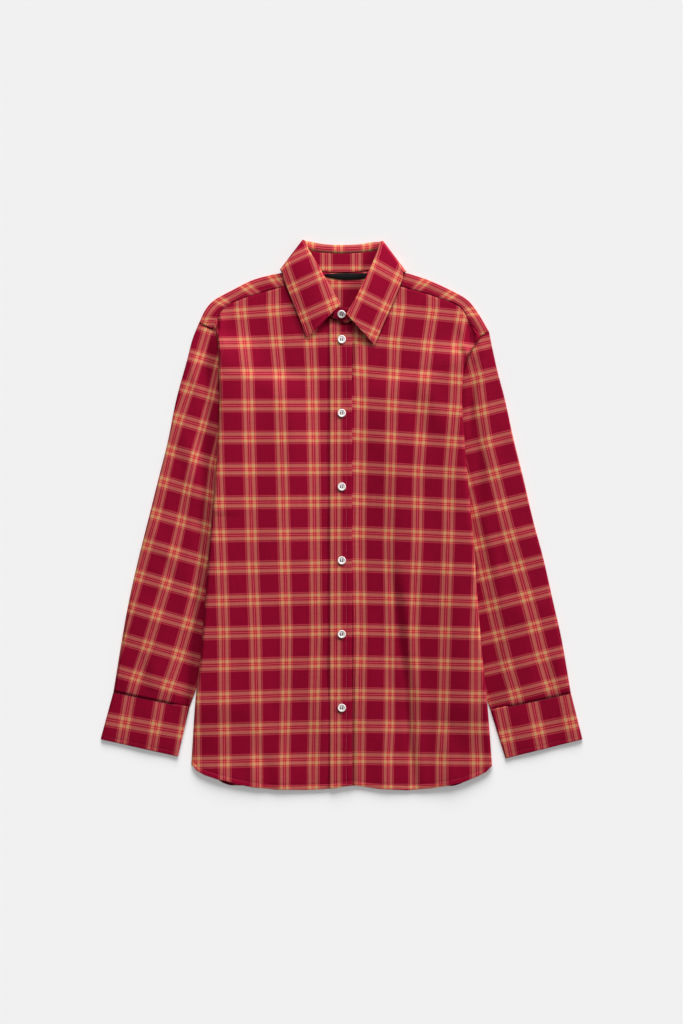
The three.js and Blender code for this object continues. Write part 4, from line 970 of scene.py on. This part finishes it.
# ------------------------------------------------------------ the collar: leaf and stand
# Both are doubled poplin with a stiff interlining. The stand is sewn round the neck and buttons at the
# front; the leaf is sewn to it, rolls over and lies on the fronts, and behind the neck it is pressed
# under. A row of stitching runs 5.5 mm inside the leaf's free edges.
# Each row is a section, from the centre front to the centre back: how far round it has gone from
# facing up (0) to facing down (180 degrees), then neck seam, leaf seam, roll and free edge.
COLLAR = {
    "right": [
        (0, (9, 275.0, 4.9), (4.0, 291.8, 8.6), (1.4, 294.2, 10.4), (48.7, 247.4, 5.6)),
        (0, (27, 288.0, 5.0), (17.4, 315.5, 9.6), (14.6, 317.2, 11.4), (57.3, 271.9, 6.3)),
        (0, (45, 312.0, 5.2), (30.8, 338.0, 10.4), (27.9, 339.8, 12.4), (66.6, 295.0, 6.8)),
        (0, (55.5, 335.0, 6.0), (43.6, 359.6, 9.6), (41.1, 362.5, 11.8), (75.9, 318.1, 7.4)),
        (0, (60.6, 346.5, 6.3), (49.7, 371.0, 7.9), (48.6, 375.6, 10.2), (80.9, 332.0, 8.2)),
        (0, (62.9, 351.3, 6.3), (49.5, 374.5, 7.1), (50.4, 382.9, 9.0), (82.4, 340.4, 8.7)),
        (45, (64.0, 352.2, 5.7), (51.0, 375.3, 6.5), (52.5, 384.3, 7.9), (84.9, 342.5, 7.95)),
        (90, (64.5, 352.5, 4.3), (51.6, 375.6, 5.05), (53.4, 384.8, 5.3), (86.0, 343.3, 4.95)),
        (135, (64.0, 352.2, 2.9), (51.0, 375.1, 3.4), (52.5, 384.3, 2.7), (84.9, 342.5, 1.95)),
        (180, (62.9, 351.3, 2.3), (49.3, 373.2, 2.6), (50.6, 384.0, 1.65), (82.4, 340.4, 0.7)),
        (180, (52.0, 346.5, 2.3), (40.0, 369.6, 2.6), (43.0, 382.6, 1.65), (62.0, 334.0, 0.7)),
        (180, (30.0, 341.8, 2.3), (23.0, 367.1, 2.6), (24.0, 379.2, 1.65), (34.0, 331.8, 0.7)),
    ],
    "left": [
        (0, (9, 269.6, 6.3), (15.0, 289.2, 10.3), (6.9, 280.6, 13.4), (46.0, 238.0, 5.6)),
        (0, (26, 283.0, 6.2), (23.4, 301.5, 11.6), (18.4, 300.4, 14.0), (57.4, 265.2, 6.3)),
        (0, (42, 302.0, 6.0), (33.2, 324.0, 12.2), (30.2, 323.6, 14.6), (68.6, 290.2, 6.8)),
        (0, (54, 329.0, 6.0), (46.0, 350.0, 10.6), (43.4, 351.6, 13.2), (79.0, 315.0, 7.4)),
        (0, (60, 344.0, 6.3), (52.5, 367.3, 8.3), (51.0, 370.5, 10.8), (84.8, 330.4, 8.2)),
        (0, (62.9, 351.0, 6.3), (52.7, 372.8, 7.1), (53.6, 381.3, 9.0), (85.8, 338.9, 8.7)),
        (45, (64.0, 352.2, 5.7), (54.2, 373.7, 6.5), (56.1, 382.8, 7.9), (89.2, 340.2, 7.95)),
        (90, (64.5, 352.5, 4.3), (54.8, 374.0, 5.05), (57.0, 383.3, 5.3), (90.3, 340.8, 4.95)),
        (135, (64.0, 352.2, 2.9), (54.2, 373.5, 3.4), (56.1, 382.8, 2.7), (89.2, 340.2, 1.95)),
        (180, (62.9, 351.3, 2.3), (52.3, 371.6, 2.6), (54.0, 382.6, 1.65), (85.8, 338.9, 0.7)),
        (180, (52.0, 346.5, 2.3), (42.0, 369.3, 2.6), (44.0, 382.0, 1.65), (62.0, 334.0, 0.7)),
        (180, (30.0, 341.8, 2.3), (23.0, 367.1, 2.6), (24.0, 379.0, 1.65), (34.0, 331.8, 0.7)),
    ],
}
COLLAR_BACK = (180, (0, 340.4, 2.3), (0, 366.1, 2.6), (0, 378.2, 1.65), (0, 331.0, 0.7))
STAND_ENDS = {  # neck seam and upper edge of the ends that run on past the leaf, outermost first
    "right": [((-12, 274.2, 4.9), (-10.5, 286, 7.4)), ((-3, 273.4, 4.9), (-4, 290.5, 8.9))],
    "left": [((-12.5, 276.6, 7.9), (-9.5, 288.0, 9.8)), ((-1, 271.4, 7.0), (0, 291.8, 11.0))],
}
JOIN_GAP = (0.8, 0.2)  # how far leaf and stand each end from their seam, in front and behind
LEAF_STITCH = 5.5
LEAF_ROLL = 0.95  # radius
STAND_SHELL = 0.9
# Where a stripe meets a row on each leaf, the steps to the next stripe and row, where the rows lie in
# those steps, how much they spread per stripe outwards, and the stripes per row upwards.
LEAF_PLAID = {
    "right": ((27.5, 336.3), (42.5, -18.9), (-14.6, -41.2), (-1.72, -0.86, 0, 1, 2), -0.02, 0.0),
    "left": ((23.9, 308.1), (38.5, -19.0), (-15.9, -36.0), (-2.36, -1.18, 0, 1, 2), -0.04, 0.05),
}
# The leaf's poplin is a copy of the cloth with its shade range raised, painted about a tenth lighter:
# painted light, standing in for the brighter light the raised collar catches.
collar_poplin_painted_light = poplin.copy()
collar_poplin_painted_light.name = "collar_poplin_with_painted_light"
collar_painted_light_range = collar_poplin_painted_light.node_tree.nodes[shade.name]
set_inputs(collar_poplin_painted_light.node_tree, collar_painted_light_range, {"in3": 1.0, "in4": 1.21})


def collar_rows():
    """The collar's sections from the right front round the back to the left front, as arrays."""
    rows = ([("right", *row) for row in COLLAR["right"]] + [("left", *COLLAR_BACK)]
            + [("left", *row) for row in reversed(COLLAR["left"])])
    points = np.array([row[2:] for row in rows], float)
    points[..., 0] *= np.array([SIDE[row[0]] for row in rows])[:, None]
    turn = np.radians([row[1] for row in rows])
    outward = np.array([(0.81 * SIDE[row[0]], 0.58, 0) for row in rows])
    facing = np.sin(turn)[:, None] * outward + np.cos(turn)[:, None] * np.array([0, 0, 1.0])
    return points, facing, turn / np.pi


def between_rows(values, places):
    """Smooth values at fractional row numbers, along the first axis."""
    last = len(values) - 1
    i = np.clip(np.floor(places).astype(int), 0, last - 1)
    t = (places - i).reshape(-1, *[1] * (values.ndim - 1))
    return catmull_rom(*(values[np.clip(i + k, 0, last)] for k in (-1, 0, 1, 2)), t)


def leaf_coordinates(points, side, behind, share_behind):
    """The plaid on a leaf, blended into that of the part behind the neck."""
    origin, step_u, step_v, knots, opening, fan = LEAF_PLAID[side]
    basis = np.linalg.inv(np.array([step_u, step_v]).T)
    plan = as_points(SIDE[side] * points[..., 0] - origin[0], points[..., 1] - origin[1]) @ basis.T
    step = plan[..., 1] / (1 + opening * plan[..., 0])
    stripe = 1 + (plan[..., 0] - 1) / (1 + fan * np.clip(-plan[..., 1], 0, 2.4) ** 2)
    past = np.minimum(step - knots[0], 0) + np.maximum(step - knots[-1], 0)
    return lerp(as_points(stripe, np.interp(step, knots, (-2, -1, 0, 1, 2)) + past), behind, share_behind)


def collar_leaf():
    stations, facing, turned = collar_rows()
    last = len(stations) - 1
    ends = np.array([0, 0.02, 0.10, 0.17, 0.205, 0.24, 0.36, 0.52, 0.68, 0.84])
    places = np.concatenate([ends, np.arange(1, last - 1, 1 / 6), last - ends[::-1]])
    _, join, roll, edge = np.moveaxis(between_rows(stations, places), 1, 0)
    up, behind_share = unit(between_rows(facing, places)), np.clip(between_rows(turned, places), 0, 1)
    tip = roll - lerp(join, edge, 0.5)
    tip = unit(tip - up * (tip * up).sum(axis=1, keepdims=True))
    centre = roll - tip * LEAF_ROLL
    arc = [centre + (tip * math.cos(a) + up * math.sin(a)) * LEAF_ROLL
           for a in np.radians(np.linspace(-90, 90, 9))]
    start = join + unit(arc[0] - join) * lerp(*JOIN_GAP, behind_share)[:, None]
    start = start + up * 0.35 * ramp(0.3, 0.0, behind_share)[:, None]
    from_free_edge = [9.0, 6.3, LEAF_STITCH, 4.7, 2.6, 0.6, 0]
    fall = np.stack([lerp(arc[-1], edge, t) for t in np.linspace(0.06, 1 - 12 / 62, 13)]
                    + [edge - unit(edge - arc[-1]) * d for d in from_free_edge])
    from_edge, from_right, from_left = (
        np.linalg.norm(fall - end, axis=-1) for end in (edge, fall[:, :1], fall[:, -1:]))
    t = 1 - from_edge / np.linalg.norm(edge - arc[-1], axis=1)
    inside = np.minimum(np.minimum(from_right, from_left), from_edge)
    bulge = 1.9 * 4 * t * (1 - t)
    pressed = -0.30 * hump(inside - LEAF_STITCH, 0.8) - 0.25 * ramp(0.9, 0.0, inside)
    pucker = 0.07 * np.sin(from_right / 1.5) * hump(from_edge - LEAF_STITCH, 3.0)
    fall = fall + up * ((bulge + pressed + pucker) * ramp(0.25, 0.0, behind_share))[..., None]
    leaf = np.concatenate([np.stack([start, lerp(start, arc[0], 0.5), *arc]), fall])
    path = np.cumsum(np.linalg.norm(np.diff(leaf, axis=0, prepend=leaf[:1]), axis=-1), axis=0)
    behind = as_points((path - 6.5) / REPEAT, (leaf[..., 0] + 4.4) / 40.0)
    share_behind = ramp(0.05, 0.6, behind_share)[:, None]
    right_uv, left_uv = (leaf_coordinates(leaf, side, behind, share_behind) for side in SIDE)
    uv = np.where((places > last / 2)[:, None], left_uv, right_uv)
    # The leaf wears the poplin copy painted lighter, as painted light.
    return cloth_object("collar_leaf", [(leaf, uv, False)], DOUBLE_SHELL, collar_poplin_painted_light), leaf, up, places


leaf_piece, leaf_grid, leaf_up, leaf_places = collar_leaf()
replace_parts(leaf_piece, "collar_leaf")


def collar_stand():
    stations, _, turned = collar_rows()
    ends = {}
    for side in SIDE:
        ends[side] = np.array([[neck, join, join, join] for neck, join in STAND_ENDS[side]], float)
        ends[side][..., 0] *= SIDE[side]
    rows = np.concatenate([ends["right"], stations, ends["left"][::-1]])
    last = len(rows) - 1
    places = np.concatenate([[0, 0.04, 0.12, 0.3, 0.5, 0.75], np.arange(1, last - 1, 1 / 5),
                             last - np.array([0.75, 0.5, 0.3, 0.12, 0.04, 0])])
    neck, join = np.moveaxis(between_rows(rows, places)[:, :2], 1, 0)
    behind_share = np.clip(between_rows(np.concatenate([[0, 0], turned, [0, 0]]), places), 0, 1)
    length = np.linalg.norm(join - neck, axis=1)
    end = np.minimum(places, last - places)
    rounded = 0.28 * ramp(0.35, 0.0, end) ** 2  # the free ends' upper corners
    stop = 1 - lerp(*JOIN_GAP, behind_share) / length - rounded
    t = np.array([0, 0.05, 0.12, 0.25, 0.4, 0.55, 0.7, 0.82, 0.9, 0.95, 1.0])[:, None] * stop
    points = lerp(neck, join, t[..., None])
    stitched = 0.35 * np.sin(np.pi * np.clip(t, 0, 1)) - 0.25 * hump((1 - t) * length - 2.2, 0.8)
    points[..., 2] += stitched * ramp(1.3, 0.0, end)
    x, y = points[..., 0], points[..., 1]
    front_uv = as_points((x * 0.8 + y * 0.6 - 192) / REPEAT, (y * 0.8 - x * 0.6 - 206) / REPEAT)
    back_uv = as_points((x - 21.1) / 42.2, (341.5 - y) / REPEAT)
    uv = lerp(front_uv, back_uv, ramp(0.1, 0.9, behind_share)[:, None])
    return cloth_object("collar_stand", [(points, uv, False)], STAND_SHELL), points


stand_piece, stand_grid = collar_stand()
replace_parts(stand_piece, "collar_stand")

# ------------------------------------------------------------ the label
# A plain black woven strip, sewn down behind the neck by its upper edge and its ends. It is left bare.
LABEL = {"centre": 7.0, "half": 31.0, "upper": 338.6, "lower": 329.6, "shell": 0.6}
# Satin tape: tight ribs along its length, and a dull gleam.
black_weave, tree, surface = new_material("black_woven_satin_tape")
label_place = add_node(tree, "ShaderNodeTexCoord")
label_ribs = add_node(tree, "ShaderNodeTexWave", {"bands_direction": "Y", "wave_profile": "SIN"},
                      Vector=label_place.outputs["Object"], Scale=330.0, Distortion=0.3)
label_fluff = add_node(tree, "ShaderNodeTexNoise", Vector=label_place.outputs["Object"], Scale=900.0)
label_tone = add_node(tree, "ShaderNodeMix", COLOURS, in0=label_fluff.outputs[0],
                      in6=linear("#060506"), in7=linear("#0d0c0d"))
label_bump = add_node(tree, "ShaderNodeBump", Strength=0.4, Distance=0.0002, Height=label_ribs.outputs[0])
set_inputs(tree, surface, {"Base Color": label_tone.outputs[2], "Normal": label_bump.outputs[0],
                           "Roughness": 0.6, "Specular IOR Level": 0.12})


def neck_label():
    k = np.linspace(-1, 1, 60)
    upper, lower = LABEL["upper"] - 0.4 * k**2 + 0.5 * k, LABEL["lower"] + np.where(k < 0, 6.2, 3.4) * k**2
    t = np.array([0, 0.04, 0.12, 0.3, 0.5, 0.7, 0.88, 0.96, 1])[:, None]
    x, y = np.broadcast_arrays(LABEL["centre"] + LABEL["half"] * k, lerp(lower, upper, t))
    z = panel_height("left", "back", np.abs(x), y) + 1.35
    points = as_points(x, y, z + 0.5 * np.sin(math.pi * t) * (1 - k**2) - 0.2 * ramp(0.1, 0, t))
    grids = [(points, points[..., :2] / REPEAT, True)]
    return cloth_object("neck_label", grids, LABEL["shell"], black_weave), points


label_piece, label_points = neck_label()
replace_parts(label_piece, "neck_label")

# ------------------------------------------------------------ the sewing
# Spun polyester thread, 22 stitches in 50 mm, drawn as short round-ended lengths on the cloth. It is
# burgundy, but pinkish on the placket and cuffs.
TOPSTITCH = {"pitch": 2.3, "length": 1.8, "radius": 0.2}


def thread_material(name, colour):
    """Spun polyester thread: a twist of two strands gives it a fine slanting line, bumped, with painted
    shade in its grooves and painted light on its ridges.
    """
    material, tree, surface = new_material(name)
    place = add_node(tree, "ShaderNodeTexCoord")
    twist = add_node(tree, "ShaderNodeTexWave", {"bands_direction": "DIAGONAL"}, Scale=900.0,
                     Vector=place.outputs["Object"])
    # Painted shade and light: the thread's value follows the twist's height, darker in the grooves and
    # lighter on the ridges.
    depth = add_node(tree, "ShaderNodeMapRange", in0=twist.outputs[1], in3=0.85, in4=1.1)
    tone = add_node(tree, "ShaderNodeHueSaturation", in2=depth.outputs[0], Color=linear(colour))
    bump = add_node(tree, "ShaderNodeBump", Strength=0.5, Distance=0.0001, Height=twist.outputs[1])
    set_inputs(tree, surface, {"Base Color": tone.outputs[0], "Normal": bump.outputs[0], "Roughness": 0.6})
    return material


def stitch_tree():
    """Short lengths of thread along every curve of a piece."""
    tree = bpy.data.node_groups.new("stitches_along_curves", "GeometryNodeTree")
    for name, kind in (("Curves", "Geometry"), ("Pitch", "Float"), ("Length", "Float"), ("Radius", "Float"),
                       ("Thread", "Material")):
        tree.interface.new_socket(name, in_out="INPUT", socket_type="NodeSocket" + kind)
    tree.interface.new_socket("Stitches", in_out="OUTPUT", socket_type="NodeSocketGeometry")
    given = add_node(tree, "NodeGroupInput").outputs
    places = add_node(tree, "GeometryNodeCurveToPoints", {"mode": "LENGTH"}, Curve=given["Curves"],
                      Length=given["Pitch"])
    turned = add_node(tree, "FunctionNodeAlignRotationToVector", {"axis": "Z"},
                      Vector=places.outputs["Tangent"])
    strand = add_node(tree, "GeometryNodeMeshUVSphere", Segments=5, Rings=4, Radius=1.0)
    size = add_node(tree, "ShaderNodeCombineXYZ", X=given["Radius"], Y=given["Radius"], Z=given["Length"])
    laid = add_node(tree, "GeometryNodeInstanceOnPoints", Points=places.outputs["Points"],
                    Instance=strand.outputs["Mesh"], Rotation=turned.outputs[0], Scale=size.outputs[0])
    real = add_node(tree, "GeometryNodeRealizeInstances", Geometry=laid.outputs[0])
    painted = add_node(tree, "GeometryNodeSetMaterial", Geometry=real.outputs[0], Material=given["Thread"])
    add_node(tree, "NodeGroupOutput", Stitches=painted.outputs[0])
    return tree


STITCHES = stitch_tree()


def stitching(name, lines, thread, pitch=TOPSTITCH["pitch"], length=TOPSTITCH["length"],
              radius=TOPSTITCH["radius"]):
    """Rows of stitches along lines of points in millimetres, as one plain mesh."""
    curve = bpy.data.curves.new(name, "CURVE")
    curve.dimensions = "3D"
    for line in lines:
        spline = curve.splines.new("POLY")
        spline.points.add(len(line) - 1)
        places = np.column_stack([np.asarray(line) * MM, np.ones(len(line))])
        spline.points.foreach_set("co", places.ravel())
    piece = placed(name, curve)
    sewn = piece.modifiers.new("stitches", "NODES")
    sewn.node_group = STITCHES
    sizes = {"Pitch": pitch * MM, "Length": length / 2 * MM, "Radius": radius * MM, "Thread": thread}
    for item in STITCHES.interface.items_tree:
        if item.in_out == "INPUT" and item.name in sizes:
            sewn[item.identifier] = sizes[item.name]
    return settled(piece, thread)


def lifted(line, height):
    return np.asarray(line) + np.array([0, 0, height])


burgundy_thread = thread_material("burgundy_spun_polyester_thread", "#8d2034")
pink_thread = thread_material("pinkish_spun_polyester_thread", "#b5485c")
black_thread = thread_material("black_spun_polyester_thread", "#141214")

# Along each hem where it faces up, and down each armhole beside the sleeve's seam.
HEM_ROW, SEEN_COLUMNS, ARMHOLE_COLUMN, UNDERARM = 4, slice(0, 78), 65, 208
body_stitches = {}
for side, grid in (("right", right_grid), ("left", left_grid)):
    beside_armhole = grid[grid[:, ARMHOLE_COLUMN, 1] > UNDERARM, ARMHOLE_COLUMN]
    rows = [lifted(grid[HEM_ROW, SEEN_COLUMNS], 0.3), lifted(beside_armhole, 0.3)]
    body_stitches[side] = stitching("front_stitching_" + side, rows, burgundy_thread)

# Along the yoke's front edges and down its armhole ends, and down both sides of the placket.
yoke_rows = [lifted(row, 0.42) for grid in (yoke_right, yoke_left) for row in (grid[-3, :-1], grid[6:, -3])]
yoke_stitches = stitching("yoke_stitching", yoke_rows, burgundy_thread)
placket_columns = np.isclose(np.abs(placket_across), PLACKET["stitch"])
placket_rows = [lifted(row, 0.55) for row in placket_points[:, placket_columns].swapaxes(0, 1)]
placket_stitches = stitching("placket_stitching", placket_rows, pink_thread)

# Round each cuff, beside its seam and its edge. A short run closes the end of the left cuff's seam.
CUFF_RINGS = {"seam": 2, "closing": 8, "edge": -5}
CUFF_TOP, CUFF_CORNER = slice(4, 52), slice(11, 15)
cuff_stitches = {}
for side, (_, rings) in cuffs.items():
    at_seam = lifted(rings[CUFF_RINGS["seam"], CUFF_TOP], 0.5)
    at_edge = lifted(rings[CUFF_RINGS["edge"], CUFF_TOP], 0.45)
    cuff_stitches[side] = [stitching("cuff_stitching_" + side, [at_seam], pink_thread),
                           stitching("cuff_edge_stitching_" + side, [at_edge], burgundy_thread)]
closing_row = lifted(cuffs["left"][1][CUFF_RINGS["closing"], CUFF_CORNER], 0.5)
cuff_stitches["left"].append(stitching("cuff_closing_stitching", [closing_row], pink_thread, 1.9))

# Round the leaf's free edges, from the front corners to behind the shoulders.
LEAF_EDGE_ROW, LEAF_FIRST_ROW, LEAF_END_COLUMN = -3, 12, 4
leaf_rows = []
for first, last in ((0.1, 5.2), (18.8, 23.9)):
    seen = (leaf_places >= first) & (leaf_places <= last)
    leaf_rows.append(leaf_grid[LEAF_EDGE_ROW, seen] + leaf_up[seen] * 0.55)
for column in (LEAF_END_COLUMN, -1 - LEAF_END_COLUMN):
    leaf_rows.append(leaf_grid[LEAF_FIRST_ROW:LEAF_EDGE_ROW + 1, column] + leaf_up[column] * 0.55)
leaf_stitches = stitching("collar_stitching", leaf_rows, burgundy_thread)
stand_rows = [lifted(stand_grid[1, 2:26], 0.5), lifted(stand_grid[1, -26:-2], 0.5)]
stand_stitches = stitching("stand_stitching", stand_rows, burgundy_thread)
label_stitches = stitching("label_stitching", [lifted(label_points[-2], 0.35)], black_thread)

# ------------------------------------------------------------ the buttons
# Seven white polyester buttons, 11.5 mm across: turned with a raised rim, polished, with four holes and
# two bars of dark thread. The first lies on the stand, the others on the placket.
NECK_BUTTON = ((0.1, 281.2, 10.6), 22, -24)  # its place, and its tilt and spin (degrees)
BUTTON_SPINS = (0, 3, -2, 1, 14, -3)  # of the others, from the top down
AROUND = 48  # facets round a button
WORKED_END = (-7.2, -6.7, -6.2, 6.2, 6.7, 7.2)  # of a buttonhole: the stitches across it, along the placket
WELL = 0.7  # depth of the hollow in a button's face
# Cast and turned resin: faintly cloudy, with a clear gloss and a little light in its depth.
white_resin, tree, surface = new_material("polished_white_polyester_resin")
resin_place = add_node(tree, "ShaderNodeTexCoord")
resin_cloud = add_node(tree, "ShaderNodeTexNoise", Vector=resin_place.outputs["Object"], Scale=260.0,
                       Detail=2.0)
resin_tone = add_node(tree, "ShaderNodeMix", COLOURS, in0=resin_cloud.outputs[0],
                      in6=linear("#e8dfde"), in7=linear("#f4eceb"))
turning = add_node(tree, "ShaderNodeBump", Strength=0.1, Distance=0.0001, Height=resin_cloud.outputs[0])
set_inputs(tree, surface, {
    "Base Color": resin_tone.outputs[2], "Normal": turning.outputs[0], "Roughness": 0.28, "IOR": 1.55,
    "Subsurface Weight": 0.15, "Subsurface Radius": (0.002, 0.0018, 0.0016)})
button_thread = thread_material("dark_plum_button_thread", "#4a1c30")


def mesh_from(shape, name):
    """Ends a piece's shaping and gives its mesh."""
    made = bpy.data.meshes.new(name)
    shape.to_mesh(made)
    shape.free()
    return made


def turned_button(name, place, tilt, spin):
    """A button turned on a lathe and drilled, standing at this place, and the thread through it."""
    radius, thick, half = BUTTON["across"] / 2, BUTTON["thick"], BUTTON["spacing"] / 2
    profile = [(0, 0), (radius - 1.3, 0), (radius - 0.5, 0.35), (radius - 0.05, 0.95), (radius, 1.4),
               (radius - 0.25, thick - 0.4), (radius - 0.6, thick - 0.08), (radius - 1.0, thick),
               (radius - 1.4, thick - 0.12), (radius - 1.9, thick - 0.5), (radius - 2.4, thick - 0.62),
               (0, thick - WELL)]
    lathe = bmesh.new()
    rings = [[lathe.verts.new((r * math.cos(a), r * math.sin(a), z))
              for a in np.arange(AROUND if r > 0 else 1) * 2 * math.pi / AROUND] for r, z in profile]
    for low, high in zip(rings, rings[1:]):
        for k in range(AROUND):
            a, b = low[k % len(low)], low[(k + 1) % len(low)]
            c, d = high[(k + 1) % len(high)], high[k % len(high)]
            lathe.faces.new(list(dict.fromkeys((a, b, c, d))))
    piece = placed(name, mesh_from(lathe, name))
    drill = bmesh.new()
    for x, y in ((-half, -half), (half, -half), (-half, half), (half, half)):
        made = bmesh.ops.create_cone(drill, cap_ends=True, segments=14, radius1=BUTTON["hole"] / 2,
                                     radius2=BUTTON["hole"] / 2, depth=8)
        bmesh.ops.translate(drill, verts=made["verts"], vec=(x, y, 1))
    drill_piece = placed("drill", mesh_from(drill, "drill"))
    holes = piece.modifiers.new("holes", "BOOLEAN")
    holes.operation, holes.solver, holes.object = "DIFFERENCE", "EXACT", drill_piece
    piece = settled(piece, white_resin)
    bpy.data.objects.remove(drill_piece)
    onto_shirt = (Matrix.Translation(Vector(place) * MM) @ Matrix.Rotation(math.radians(tilt), 4, "X")
                  @ Matrix.Rotation(math.radians(spin), 4, "Z") @ Matrix.Scale(MM, 4))
    piece.data.transform(onto_shirt)
    piece.data.set_sharp_from_angle(angle=math.radians(35))
    t = np.linspace(-1, 1, 9)
    z = thick - WELL + 0.75 * np.sqrt(np.clip(1 - t**4, 0, 1)) - 0.5 * np.abs(t) ** 6
    bars = [as_points(x + strand, t * (half + 0.15), z - abs(strand) * 0.3)
            for x in (-half, half) for strand in (-0.28, 0.0, 0.28)]
    bars = [[onto_shirt @ Vector(p) / MM for p in bar] for bar in bars]
    stitching(name + "_thread", bars, button_thread, 0.42, 0.9, 0.26)
    return piece


placket_top = LEVEL["front"] + CLOTH / 2 + LAY + DOUBLED
worked_ends = []
for n in range(7):
    if n == 0:
        place, tilt, spin = NECK_BUTTON
    else:
        y = BUTTON["top"] - (n - 1) * BUTTON["pitch"]
        place, tilt, spin = (BUTTON["x"], y, placket_top + 0.3), 0, BUTTON_SPINS[n - 1]
        worked_ends += [[(place[0] + across, y + d, placket_top + 0.25) for across in (-0.9, 0.9)]
                        for d in WORKED_END]
    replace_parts(turned_button(f"button_{n + 1}", place, tilt, spin), f"button_{n + 1}")
buttonhole_stitches = stitching("buttonhole_ends", worked_ends, pink_thread, 0.5, 0.9)

# ------------------------------------------------------------ the cut
# What each piece of cloth measures flat, without seam allowances: width and length in metres, the area
# where it isn't a rectangle, what it lies on, and the stitching on it. A sleeve's goes all round.
for piece, flat, area, rests_on, sewing in (
        (back_panel, (0.560, 0.640), 0.320, ["table"], []),
        (front_right, (0.285, 0.700), 0.160, ["back_panel", "sleeve_right"], [body_stitches["right"]]),
        (front_left, (0.285, 0.690), 0.160, ["back_panel", "sleeve_left"], [body_stitches["left"]]),
        (placket_strip, (0.0313, 0.655), None, ["front_right"], [placket_stitches, buttonhole_stitches]),
        (yoke_piece, (0.410, 0.130), 0.038, ["table", "back_panel"], [yoke_stitches]),
        (sleeves["right"], (0.36, 0.60), 0.160, ["table"], []),
        (sleeves["left"], (0.36, 0.60), 0.160, ["table"], []),
        (cuffs["right"][0], (0.220, 0.069), None, ["table"], cuff_stitches["right"]),
        (cuffs["left"][0], (0.230, 0.069), None, ["table"], cuff_stitches["left"]),
        (leaf_piece, (0.440, 0.070), 0.026, ["yoke", "front_right", "front_left"], [leaf_stitches]),
        (stand_piece, (0.400, 0.028), 0.0095, ["yoke", "front_right", "front_left"], [stand_stitches]),
        (label_piece, (0.062, 0.010), None, ["yoke"], [label_stitches])):
    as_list(rests_on)
    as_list(sewing)
